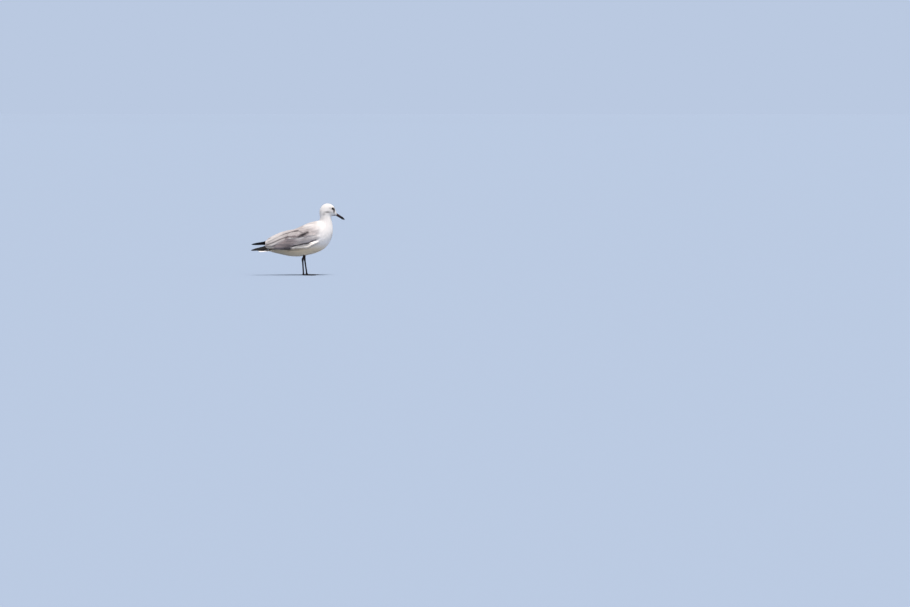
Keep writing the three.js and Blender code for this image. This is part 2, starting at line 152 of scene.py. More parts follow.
def nodeArrays(name):
    mesh = nodes[name].data
    return perVertex(mesh), trianglesOf(mesh)


def objectFrom(name, points, faces):
    mesh = bpy.data.meshes.new(name)
    mesh.from_pydata([tuple(p) for p in points], [], [tuple(f) for f in faces])
    mesh.update()
    piece = bpy.data.objects.new(name, mesh)
    bpy.context.collection.objects.link(piece)
    return piece


def remeshed(name, sources, voxel, smoothing, extra=()):
    # one smooth closed mesh round several solids
    allPoints, allFaces, offset = [], [], 0
    for points, faces in [nodeArrays(source) for source in sources] + list(extra):
        allPoints.append(points)
        allFaces.append(faces + offset)
        offset += len(points)
    piece = objectFrom(name, np.vstack(allPoints), np.vstack(allFaces).tolist())
    mesher = piece.modifiers.new("mesher", "REMESH")
    mesher.mode = "VOXEL"
    mesher.voxel_size = voxel
    mesher.use_smooth_shade = True
    softener = piece.modifiers.new("softener", "SMOOTH")
    softener.factor = 0.5
    softener.iterations = smoothing
    applyModifiers(piece)
    return piece


def applyModifiers(piece):
    graph = bpy.context.evaluated_depsgraph_get()
    graph.update()
    fresh = bpy.data.meshes.new_from_object(piece.evaluated_get(graph))
    old = piece.data
    piece.modifiers.clear()
    piece.data = fresh
    fresh.name = piece.name
    bpy.data.meshes.remove(old)


def movePoints(mesh, points):
    mesh.vertices.foreach_set("co", points.ravel())
    mesh.update()


def treeOf(piece):
    mesh = piece.data
    return BVHTree.FromPolygons([v.co for v in mesh.vertices], [p.vertices for p in mesh.polygons])


def nodeTree(name):
    points, faces = nodeArrays(name)
    return BVHTree.FromPolygons([Vector(p) for p in points], faces.tolist())


def tubeFaces(rings, sides):
    # triangles of a closed tube of rings
    faces = []
    for i in range(rings - 1):
        for j in range(sides):
            a, b = i * sides + j, i * sides + (j + 1) % sides
            faces += [(a, b, b + sides), (a, b + sides, a + sides)]
    last = (rings - 1) * sides
    for j in range(1, sides - 1):
        faces += [(0, j + 1, j), (last, last + j, last + j + 1)]
    return np.array(faces)


def keepReading(mesh, name, values, kind="FLOAT"):
    holder = mesh.attributes.new(name, kind, "POINT")
    field = "vector" if kind == "FLOAT_VECTOR" else "value"
    holder.data.foreach_set(field, np.ascontiguousarray(values, dtype=np.float32).ravel())


def keepPatches(mesh, places):
    # one place on the unwrap for each corner of the mesh
    layer = mesh.uv_layers.new(name="OFBake")
    layer.data.foreach_set("uv", places.astype(np.float32).ravel())


def smoothly(value, low, high):
    share = np.clip((value - low) / (high - low), 0, 1)
    return share * share * (3 - 2 * share)


def unit(vectors):
    return vectors / np.maximum(np.linalg.norm(vectors, axis=-1, keepdims=True), 1e-12)


def flatten(flow, normals):
    # directions turned into the surface
    return unit(flow - normals * np.sum(flow * normals, axis=1, keepdims=True))


# camera, light and floor

view = {
    "lens": 200.0,  # mm on a 36 mm sensor
    "distance": 17.2,
    "aside": 1.78,  # degrees that the bird stands left of the middle
    "above": 0.7275,  # degrees above the middle
    "elevation": 1.5,
    "sky": linear(186, 201, 225),  # seen behind the bird
    "soft": (0.56, 0.55, 0.55),  # light from all round
    "sun": (4.1, 3.85, 3.65),
    "fill": (0.75, 0.67, 0.57),  # a low weak light from the camera's side
    "fillHeight": 5,
    "sunHeight": 70,
    "sunTurn": 24,  # degrees from the camera's side towards the bird's front
    "sunSize": 10,
    "fillSize": 40,
    "floor": (90, 400),  # metres to each side and behind
}


def setStage():
    scene = bpy.context.scene
    low, high = (Vector(corner) for corner in cadBox)
    middle = (low + high) / 2
    tilt = math.radians(view["elevation"])
    camera = bpy.data.objects.new("camera", bpy.data.cameras.new("camera"))
    camera.data.lens = view["lens"]
    camera.data.sensor_width = 36
    camera.data.clip_end = 400
    away = view["distance"]
    camera.location = middle + Vector((0, -away * math.cos(tilt), away * math.sin(tilt)))
    camera.rotation_euler = (
        math.radians(90 - view["elevation"] - view["above"]), 0, -math.radians(view["aside"]))
    scene.collection.objects.link(camera)
    scene.camera = camera

    height = math.radians(view["sunHeight"])
    turn = math.radians(view["sunTurn"])
    lowTurn = math.sin(math.radians(view["fillHeight"]))
    # the tint that makes the lit floor as bright as the sky
    floorTint = tuple(
        sky / (soft + (sun * math.sin(height) + fill * lowTurn) / math.pi)
        for sky, soft, sun, fill in zip(view["sky"], view["soft"], view["sun"], view["fill"])) + (1.0,)
    wide, behind = view["floor"]
    corners = [(-wide, -wide, 0), (wide, -wide, 0), (wide, behind, 0), (-wide, behind, 0)]
    floor = objectFrom("floor", corners, [(0, 1, 2, 3)])
    ground = Finish("floorPaint")
    grain = ground.noise(3.0, 2.0)
    paler = tuple(min(part * 1.03, 1.0) for part in floorTint)
    floor.data.materials.append(ground.set(
        Base_Color=ground.mix(grain, floorTint, paler), Roughness=1.0, Specular_IOR_Level=0.0))

    world = bpy.data.worlds.new("studio")
    world.use_nodes = True
    tree = world.node_tree
    around = tree.nodes["Background"]
    around.inputs["Color"].default_value = (*view["soft"], 1.0)
    sky = tree.nodes.new("ShaderNodeBackground")
    sky.inputs["Color"].default_value = view["sky"]
    chosen = tree.nodes.new("ShaderNodeMixShader")
    tree.links.new(tree.nodes.new("ShaderNodeLightPath").outputs["Is Camera Ray"], chosen.inputs[0])
    tree.links.new(around.outputs[0], chosen.inputs[1])
    tree.links.new(sky.outputs[0], chosen.inputs[2])
    tree.links.new(chosen.outputs[0], tree.nodes["World Output"].inputs["Surface"])
    scene.world = world
    scene.view_settings.view_transform = "Standard"

    for name, colour, rise, size in (
            ("sun", view["sun"], height, view["sunSize"]),
            ("fill", view["fill"], math.radians(view["fillHeight"]), view["fillSize"])):
        lamp = bpy.data.lights.new(name, "SUN")
        lamp.energy = colour[0]
        lamp.angle = math.radians(size)
        lamp.color = tuple(part / colour[0] for part in colour)
        light = bpy.data.objects.new(name, lamp)
        towards = Vector((math.sin(turn) * math.cos(rise), -math.cos(turn) * math.cos(rise), math.sin(rise)))
        light.location = middle + towards * 2
        light.rotation_euler = towards.to_track_quat("Z", "Y").to_euler()
        light.visible_glossy = name == "sun"
        scene.collection.objects.link(light)
    print("stage: camera, sun, sky and floor")


setStage()


# body line: sections from tail to bill, which give each place on the bird a share along, height and flow

bodyLine = {
    # top x, top z, bottom x, bottom z, feather length, coat depth, all in mm
    "rows": np.array([
        (-98, 91.5, -98, 82.5, 17, 1.6),
        (-52, 122, -54, 71.8, 16, 2.0),
        (-22, 145, -25, 65.6, 16, 2.2),
        (10, 163.5, 7, 65.2, 15.5, 2.2),
        (36, 176.2, 38, 71, 15, 2.2),
        (57, 182.8, 66, 79.4, 14.5, 2.2),
        (67, 185, 91, 93, 14, 2.2),
        (71.8, 186.3, 108, 112, 13, 2.2),
        (74, 188, 118, 145, 11.5, 2.1),
        (75.4, 193.6, 117.3, 174, 10, 1.9),
        (73.4, 211, 113.4, 195.4, 8, 1.6),
        (74.2, 222.5, 114.8, 199.6, 6.6, 1.4),
        (80.6, 235, 117.8, 201, 5.8, 1.3),
        (92, 242.8, 120.6, 201.5, 5.2, 1.2),
        (105, 244, 123.4, 201.6, 4.6, 1.1),
        (117, 239.3, 125.8, 201.6, 4.0, 1.0),
        (124.4, 230.8, 128, 201.6, 3.4, 0.9),
        (130, 214.8, 131, 201.7, 2.8, 0.8),
        (132, 210.9, 131.8, 202, 2.4, 0.7),
    ]),
    "steps": 360,
}


def between(rows, share, *columns):
    # columns of a table at places given in rows from its first
    return [np.interp(share, np.arange(len(rows)), rows[:, k]) for k in columns]


everyStep = np.linspace(0, len(bodyLine["rows"]) - 1, bodyLine["steps"])
fine = np.column_stack(between(bodyLine["rows"], everyStep, 0, 1, 2, 3))


def placeOn(points):
    # share along the body (0 tail, 1 bill), height in the section (-1 belly, 1 back), flow towards the tail
    x, z = points[:, 0] / mm, points[:, 2] / mm
    top, bottom = fine[:, 0:2], fine[:, 2:4]
    middle, up = (top + bottom) / 2, (top - bottom) / 2
    height = np.hypot(up[:, 0], up[:, 1])
    shares, heights, flows = [], [], []
    batch = 4000  # points at a time
    for start in range(0, len(points), batch):
        dx = x[start:start + batch, None] - middle[None, :, 0]
        dz = z[start:start + batch, None] - middle[None, :, 1]
        off = np.abs(dx * up[None, :, 1] - dz * up[None, :, 0]) / height[None]
        along = (dx * up[None, :, 0] + dz * up[None, :, 1]) / height[None] ** 2
        off += np.maximum(np.abs(along) - 1.25, 0) * height[None] * 2
        best = np.argmin(off, axis=1)
        level = along[np.arange(len(best)), best]
        before, after = np.clip(best - 3, 0, None), np.clip(best + 3, None, len(fine) - 1)
        flow = (middle[before] + up[before] * level[:, None]) - (middle[after] + up[after] * level[:, None])
        shares.append(best / (len(fine) - 1))
        heights.append(level)
        flows.append(flow)
    flow = np.vstack(flows)
    flow = unit(np.column_stack([flow[:, 0], np.zeros(len(flow)), flow[:, 1]]))
    return np.concatenate(shares), np.concatenate(heights), flow


def unwrapped(points):
    # the coat's unwrap: share along the body, and angle round it
    share, height, _ = placeOn(points)
    row = fine[np.round(share * (len(fine) - 1)).astype(int)]
    half = np.hypot(row[:, 0] - row[:, 2], row[:, 1] - row[:, 3]) / 2
    angle = np.arctan2(points[:, 1] / mm, height * half)
    return np.column_stack([0.01 + 0.98 * share, 0.01 + 0.98 * (angle / (2 * math.pi) + 0.5)])


def bySection(share, column):
    rows = bodyLine["rows"]
    return between(rows, share * (len(rows) - 1), column)[0]


# markings shared by skin and coat

markings = {
    "white": linear(250, 247, 247),
    "shade": linear(222, 200, 168),  # painted shade on the white belly low down
    # painted shade, darker still, towards the rear of the belly
    "ventShade": linear(172, 156, 130),
    "grey": linear(139, 129, 131),
    "pale": linear(160, 153, 157),  # the lightest grey feathers
    "dark": linear(42, 38, 41),
    "black": linear(13, 12, 15),
    "shadeEnds": (0.083, 0.116),  # metres up, over which the painted shade low down fades out
    "ventShadeEnds": (-0.07, 0.03),  # metres along x, over which the painted shade turns darker towards the rear
}


def spot(x, z, atX, atZ, wide, tall, tilt):
    turn = math.radians(tilt)
    dx, dz = x - atX, z - atZ
    a = dx * math.cos(turn) + dz * math.sin(turn)
    b = -dx * math.sin(turn) + dz * math.cos(turn)
    return np.exp(-((a / wide) ** 2 + (b / tall) ** 2))


paintedShadowLines = [
    # painted shadow in the gaps between the wing's rows, along its lower edge and on the flank below it: x
    # and z of both ends in mm, half width, darkness
    (33, 147, 25, 142.5, 4.8, 1.0), (26, 143, 15, 138, 6.0, 1.0), (15, 138, 3, 133.5, 3.0, 1.0),
    (3, 133.5, -28, 132, 1.6, 0.7), (22, 145, 2, 150.5, 1.6, 0.6), (2, 152.5, -12, 150.5, 2.2, 0.9),
    (-12, 150.5, -40, 142.7, 1.6, 0.85), (-40, 142.7, -59, 135, 1.5, 0.7), (-59, 135, -100, 114, 1.3, 0.5),
    (-28, 133.5, -60, 123, 2.0, 0.9), (-60, 123, -84, 112, 2.0, 0.9), (-84, 112, -105, 105, 1.9, 0.85),
    (62, 122, 51, 119, 1.7, 0.7), (51, 119, 34, 110.5, 2.0, 0.95), (34, 110.5, 17, 108, 2.4, 1.0),
    (17, 108, 3, 104.5, 2.4, 1.0), (3, 104.5, -14, 99.5, 2.8, 1.0), (-14, 99.5, -28, 90.5, 3.2, 1.0),
    (-28, 89.5, -60, 91, 3.4, 1.0), (-60, 91, -97, 88.5, 2.2, 1.0),
    (74, 112, 51, 102, 3.4, 0.25), (51, 102, 34, 93, 3.4, 0.3), (34, 93, 3, 88.5, 3.0, 0.35),
    (3, 88.5, -34, 85, 3.0, 0.5),
]
paleLines = [
    # the same for pale edges of the wing's rows, with paleness last; the last, wide one is painted light on
    # the top of the mantle
    (20, 131, 3, 124.5, 2.2, 0.5), (3, 124.5, -28, 127, 2.2, 0.5), (-76, 109, -88, 104.5, 2.6, 0.6),
    (-84, 93.5, -106, 95, 2.8, 0.9), (-90, 98, -102, 99, 3.0, 0.7), (56, 133, 48, 133, 4.0, 0.4),
    (66, 172, 30, 169, 12.0, 0.5),
]
faceSpots = [
    # darkness, then x, z, half length and half height in mm and tilt in degrees: before, below and over
    # the eye, the ear, the cheek below it, the nape's side, behind the eye, the neck and the gape; the neck's
    # faint one is painted shade, and the gape's is its dark line with painted shadow under the chin
    (0.95, 123, 222.6, 3.0, 4.4, 12), (0.9, 122.6, 216, 2.8, 5.4, 0), (0.8, 118, 226, 6.6, 4.6, 0),
    (0.85, 100.5, 215.2, 9.5, 3.0, -2), (0.3, 113, 214.6, 6, 1.6, 0), (0.45, 88, 208, 6, 5, 40),
    (0.28, 108, 228.7, 4, 2.4, 0), (0.05, 95, 190, 12, 9, 0), (0.9, 123.5, 204.2, 7.5, 1.9, 0),
]
wingShadeSpots = [(0.55, -34, 96, 17, 5.5, 12), (0.14, -36, 108, 20, 10, 12)]  # the same, painted shade low on the rear of the closed wing
wingMarks = {
    # heights in mm or strengths of grey at some x in mm; behind the middle, below is stronger than above:
    # painted shade low on the wing
    "lowEdge": ([-112, -98, -60, -27, -15, 10, 17, 46, 68, 80, 90],
                [92, 90, 87, 87.5, 92, 99.5, 102, 111, 121.5, 128, 142]),
    "fold": ([-110, -60, 0, 40, 75], [104, 126, 136, 150, 156]),
    "above": ([-110, -60, -20, 5, 25, 45, 60], [0.6, 0.74, 0.84, 0.9, 0.98, 1.08, 0.75]),
    "below": ([-110, -60, -30, 0, 30, 80], [0.9, 1.0, 1.02, 0.8, 0.74, 0.6]),
}
fades = {
    # mm over which a marking begins or ends
    "neck": (58, 84),  # x at the back's front end, which leans by neckLean about neckMiddle
    "neckLean": 0.12,
    "neckMiddle": 150,
    "lowEdge": (0, 2.5),
    "fold": (-14, 10),
    "face": (1.5, 6),  # out from the middle plane
    "wing": (3, 8),
}


def alongLines(x, z, lines):
    # the strongest of some lines at each place
    strength = np.zeros(len(x))
    for x0, z0, x1, z1, half, strong in lines:
        long = (x1 - x0) ** 2 + (z1 - z0) ** 2
        share = np.clip(((x - x0) * (x1 - x0) + (z - z0) * (z1 - z0)) / long, 0, 1)
        gap = np.hypot(x - x0 - share * (x1 - x0), z - z0 - share * (z1 - z0))
        strength = np.maximum(strength, strong * np.exp(-(gap / half) ** 2))
    return strength


def markingsAt(points):
    # grey of the upperparts, with painted light on top of the mantle and painted shade low on the wing, and
    # dark marks of the face with painted shadow on the neck, under the chin, along the wing's rows and on the
    # flank, as shares, from where a place is on the bird
    x, y, z = points[:, 0] / mm, np.abs(points[:, 1]) / mm, points[:, 2] / mm
    lowEdge, fold, above, below = (np.interp(x, *line) for line in wingMarks.values())
    backness = 1 - smoothly(x + fades["neckLean"] * (z - fades["neckMiddle"]), *fades["neck"])
    mantle = smoothly(z - lowEdge, *fades["lowEdge"]) * backness
    lower = 1 - smoothly(z - fold, *fades["fold"])
    grey = mantle * (above + (below - above) * lower)
    grey = grey * (1 - alongLines(x, z, paleLines))
    marksAndShadow = smoothly(y, *fades["face"]) * sum(strong * spot(x, z, *shape) for strong, *shape in faceSpots)
    onWing = smoothly(y, *fades["wing"]) * backness
    marksAndShadow = np.maximum(marksAndShadow, onWing * sum(strong * spot(x, z, *shape) for strong, *shape in wingShadeSpots))
    marksAndShadow = np.maximum(marksAndShadow, onWing * alongLines(x, z, paintedShadowLines))
    return np.clip(grey, 0, 1), np.clip(marksAndShadow, 0, 1)


def plumage(name, patterned=False, sheen=0.1, glow=0.35):
    # markings, painted shade low down that darkens towards the rear, fine barbs, and on big feathers a shaft
    # and a pale fringe
    finish = Finish(name)
    grey, marksAndShadow, black = (finish.reading(key) for key in ("grey", "marksAndShadow", "black"))
    along, across, luck = (finish.reading(key) for key in ("along", "across", "luck"))
    place = finish.add("ShaderNodeTexCoord", output=3)
    height = finish.add("ShaderNodeSeparateXYZ", {}, {0: place}, output=2)
    lengthways = finish.add("ShaderNodeSeparateXYZ", {}, {0: place}, output=0)
    # painted shade: low down the white turns to the shade colour and to the darker rear shade; bright
    # feathers are left without it
    low = 1.0 - height.ramp(*markings["shadeEnds"])
    if patterned:
        low = low * (1.0 - finish.reading("bright"))
    rear = 1.0 - lengthways.ramp(*markings["ventShadeEnds"])
    white = finish.mix(low * 0.95, markings["white"], finish.mix(rear, markings["shade"], markings["ventShade"]))
    paler = finish.mix((luck - 0.5).clamp() * 0.25, markings["grey"], markings["pale"])
    colour = finish.mix((grey + (luck - 0.5) * grey * 0.14).clamp(), white, paler)
    colour = finish.mix(marksAndShadow.clamp(), colour, markings["dark"])
    colour = finish.mix(black, colour, markings["black"])
    if patterned:
        pale, fringe = finish.reading("pale"), finish.reading("fringe")
        webs = abs(across).ramp(0.2, 0.6) * (1.0 - abs(across).ramp(0.7, 0.9)) * fringe
        colour = finish.mix(webs * 0.14, colour, markings["dark"])
        edge = abs(across).ramp(0.8, 1.0) * fringe * (1.0 - marksAndShadow) * 0.45
        colour = finish.mix(edge, colour, markings["white"])
        colour = finish.mix(along.ramp(0.95, 0.985) * pale, colour, markings["white"])
        shaft = (1.0 - abs(across).ramp(0.0, 0.07)) * fringe.ramp(0.0, 0.1) * 0.16
        colour = finish.mix(shaft * (1.0 - black), colour, markings["dark"])
    barbs = finish.reading("barbs", output=1)
    comb = finish.add(
        "ShaderNodeTexWave", {"wave_type": "BANDS", "bands_direction": "X"},
        {"Vector": barbs, "Scale": 900.0, "Distortion": 3.0, "Detail": 2.0, "Detail Scale": 1.5}, output=1)
    return finish.set(
        Base_Color=colour, Roughness=0.86 - black * 0.3, Normal=finish.bump(comb, 0.25, 0.0003),
        Sheen_Weight=sheen, Sheen_Roughness=0.5, Specular_IOR_Level=0.15, Subsurface_Weight=glow,
        Subsurface_Radius=(1.0, 0.95, 0.9), Subsurface_Scale=0.0012)


plumageFinish = plumage("bodyPlumage")
bigPlumageFinish = plumage("wingPlumage", patterned=True)
flightFinish = plumage("flightPlumage", patterned=True, sheen=0.0, glow=0.0)


# skin

flesh = ["head", "neck", "trunk", "wing_right", "wing_left", "thigh_right", "thigh_left"]
wholeBody = flesh + ["eye_right", "eye_left"]
skinSizes = {
    "voxel": 1.4 * mm,
    "smoothing": 6,
    "tailCut": -100 * mm,  # the tail is skin in front of this x
    "fillerShift": (1.1, 2.2, 3.3, 4.4, 5.5),  # mm that the wings' copies lie further in
    "reach": 14 * mm,  # a face with something nearer before it is in a gap
    "nearWing": 1.6,  # mm
    "wingDepth": 0.9,  # mm below the surface, times the share at some x in mm
    "depthShare": ([-112, -40, 40], [0.55, 1.0, 1.8]),
    "bodyShare": 0.5,  # of the coat's depth
    "rearDepth": (-90, 1.0),  # behind this x, at least so deep, both in mm
    "duskShare": (60, 0.25),  # behind this x in mm the painted shadow of the wing's rows is left to the feathers, but for a share
}

roof = {
    # x, z and half width in mm of the feathers that meet between the folded wings
    "rows": [(24, 154, 24), (5, 155.4, 28), (-18, 153.6, 20.5), (-38, 150.2, 12), (-58, 144.4, 6.5),
             (-78, 136.6, 4.6), (-95, 127.6, 4.6), (-108, 118.4, 4.8)],
    "deep": 9,
}


def roofArrays():
    # a strip with a rounded back that closes the gap over the rump
    deep = roof["deep"]
    section = [(-1, 0.6), (-0.5, -0.6), (0, -1.0), (0.5, -0.6), (1, 0.6), (0.9, deep), (-0.9, deep)]
    points = [(x * mm, y * half * mm, (z - down) * mm) for x, z, half in roof["rows"] for y, down in section]
    return np.array(points), tubeFaces(len(roof["rows"]), len(section))


def covertArrays():
    # the tail's root without its long feathers
    points, faces = nodeArrays("tail")
    work = bmesh.new()
    corners = [work.verts.new(p) for p in points]
    for face in faces:
        work.faces.new([corners[i] for i in face])
    bmesh.ops.bisect_plane(work, geom=work.verts[:] + work.edges[:] + work.faces[:],
                           plane_co=(skinSizes["tailCut"], 0, 0), plane_no=(-1, 0, 0), clear_outer=True)
    bmesh.ops.holes_fill(work, edges=[e for e in work.edges if e.is_boundary], sides=0)
    bmesh.ops.triangulate(work, faces=work.faces[:])
    work.verts.index_update()
    points = np.array([v.co[:] for v in work.verts])
    faces = np.array([[v.index for v in f.verts] for f in work.faces])
    work.free()
    return points, faces


def wingFillers():
    # copies of both wings moved in towards the body, so that no gap stays behind them
    copies = []
    for side, sign in signOf.items():
        points, faces = nodeArrays("wing_" + side)
        for inwards in skinSizes["fillerShift"]:
            copies.append((points - np.array([0, sign * inwards * mm, 0]), faces))
    return copies


flank = {
    # white tufts that lap over the wing's lower edge, from the front: x, z and half height of their band, mm
    "line": np.array([(90, 127, 1.4), (77, 121.5, 2.6), (64, 115, 4.0), (48, 108, 6.0), (33, 99.8, 6.0),
                      (11, 96.5, 4.2), (-8, 94, 2.6), (-16, 92.5, 1.2)]),
    "count": 420,
    "stations": 7,
    "lanes": 7,
    "length": 14 * mm,
    "width": 2.3 * mm,
    "shift": (5, 2),  # mm that the roots lie ahead of and above the line
    "thickness": 0.1 * mm,
    "rise": (-0.8, 1.0),  # mm over the surface, at root and tip
    "waver": 0.2 * mm,
    "stretch": (-0.5, 0.2),  # how much a tip's last stretch is shorter or longer
    "lit": 1.6,  # how far light takes the tufts to face upwards
    "softness": 0.85,
    "fade": ((0, 2.6), (6, 7)),  # rows of the line over which the tufts rise and sink again
    "deep": 4.0,  # mm, half depth of the soft pad below them
    "proud": 1.6,  # mm that the pad stands out
    "rings": 16,
    "sides": 10,
}


def padArrays(side):
    # the soft pad of the flank below the wing's lower edge
    sign, line = signOf[side], flank["line"]
    rings, sides = flank["rings"], flank["sides"]
    trees = [nodeTree("trunk"), nodeTree("wing_" + side)]
    points = []
    for share in np.linspace(0, len(line) - 1, rings):
        x, z, tall = between(line, share, 0, 1, 2)
        outside = Vector((x * mm, sign * 0.2, z * mm))
        hits = [tree.ray_cast(outside, Vector((0, -sign, 0)))[0] for tree in trees]
        out = max(abs(hit.y) for hit in hits if hit is not None) / mm
        ends = math.sin(math.pi * (0.08 + 0.84 * share / (len(line) - 1))) ** 0.5
        middle = out + flank["proud"] * ends - flank["deep"]
        for turn in 2 * math.pi * np.arange(sides) / sides:
            points.append((x * mm, sign * (middle + flank["deep"] * math.cos(turn)) * mm,
                           (z + (tall * 0.9 + 0.6) * ends * math.sin(turn)) * mm))
    return np.array(points), tubeFaces(rings, sides)


fillers = [roofArrays(), covertArrays(), padArrays("right"), padArrays("left")] + wingFillers()
outer = remeshed("outer", wholeBody, skinSizes["voxel"], skinSizes["smoothing"], fillers)


def openOnly(piece, reach):
    # drops the faces of gaps between the solids, where something stands close before them
    tree = treeOf(piece)
    work = bmesh.new()
    work.from_mesh(piece.data)
    covered = []
    for face in work.faces:
        start = face.calc_center_median() + face.normal * 0.3 * mm
        if tree.ray_cast(start, face.normal, reach)[0] is not None:
            covered.append(face)
    bmesh.ops.delete(work, geom=covered, context="FACES")
    work.to_mesh(piece.data)
    work.free()
    print("guide surface:", len(piece.data.polygons), "faces,", len(covered), "dropped")


openOnly(outer, skinSizes["reach"])
outerTree = treeOf(outer)
wingTrees = [nodeTree("wing_right"), nodeTree("wing_left")]


def fromWing(points):
    # distance in mm from the nearer wing
    return np.array([min(tree.find_nearest(Vector(p))[3] for tree in wingTrees) for p in points]) / mm


def makeSkin():
    skin = remeshed("skin", wholeBody, skinSizes["voxel"], skinSizes["smoothing"], fillers)
    mesh = skin.data
    points, normals = perVertex(mesh), perVertex(mesh, "normal")
    share, _, _ = placeOn(points)
    depth = bySection(share, 5)
    thin = skinSizes["wingDepth"] * np.interp(points[:, 0] / mm, *skinSizes["depthShare"])
    onWing = fromWing(points) < skinSizes["nearWing"]
    depth = np.where(onWing, np.minimum(depth, thin), depth * skinSizes["bodyShare"])
    rear, rearDepth = skinSizes["rearDepth"]
    depth = np.where(points[:, 0] < rear * mm, np.maximum(depth, rearDepth), depth)
    movePoints(mesh, points - normals * depth[:, None] * mm)
    points = perVertex(mesh)
    grey, marksAndShadow = markingsAt(points)
    front, duskShare = skinSizes["duskShare"]
    marksAndShadow = np.where(points[:, 0] > front * mm, marksAndShadow, marksAndShadow * duskShare)
    readings = {"grey": grey, "marksAndShadow": marksAndShadow, "black": 0.0, "along": 0.4, "across": 0.4, "luck": 0.5}
    for key, values in readings.items():
        keepReading(mesh, key, np.broadcast_to(values, len(points)))
    keepReading(mesh, "barbs", points, "FLOAT_VECTOR")
    corners = np.empty(len(mesh.loops), dtype=np.int64)
    mesh.loops.foreach_get("vertex_index", corners)
    keepPatches(mesh, unwrapped(points)[corners])
    mesh.materials.append(plumageFinish)
    mesh.shade_smooth()
    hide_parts(*flesh)
    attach(skin, "root")
    print("skin:", len(mesh.polygons), "faces")


makeSkin()


# vanes: every feather is a thin closed blade, laid on the outer surface

def vaneFaces(stations, lanes):
    # faces of one blade: a grid above, a ridge of points below, and a closed root and tip
    faces = []
    below = stations * lanes
    for s in range(stations - 1):
        for lane in range(lanes - 1):
            a = s * lanes + lane
            faces.append((a + lanes, a + lanes + 1, a + 1, a))
        left, right = s * lanes, s * lanes + lanes - 1
        faces.append((below + s, below + s + 1, left + lanes, left))
        faces.append((below + s + 1, below + s, right, right + lanes))
    faces.append((*range(lanes), below))
    faces.append((*range(below - 1, below - lanes - 1, -1), below + stations - 1))
    return faces


def vaneWidths(stations, tip):
    # share of full width at each station: narrow root, full middle, round or pointed tip
    s = np.linspace(0, 1, stations)
    root = 0.4 + 0.6 * smoothly(s, 0, 0.4)
    end = np.clip((s - (1 - tip)) / tip, 0, 1)
    return root * np.maximum(np.sqrt(np.clip(1 - end ** 2.2, 0, 1)), 0.07)


def tuftWidths(stations):
    # share of full width of a soft tuft: widest early, drawn out to a ragged tip
    s = np.linspace(0, 1, stations)
    return np.minimum(0.45 + 2.2 * s, 1) * (1 - 0.72 * s ** 1.8)


patchSize = 0.003  # of a feather on the unwrap


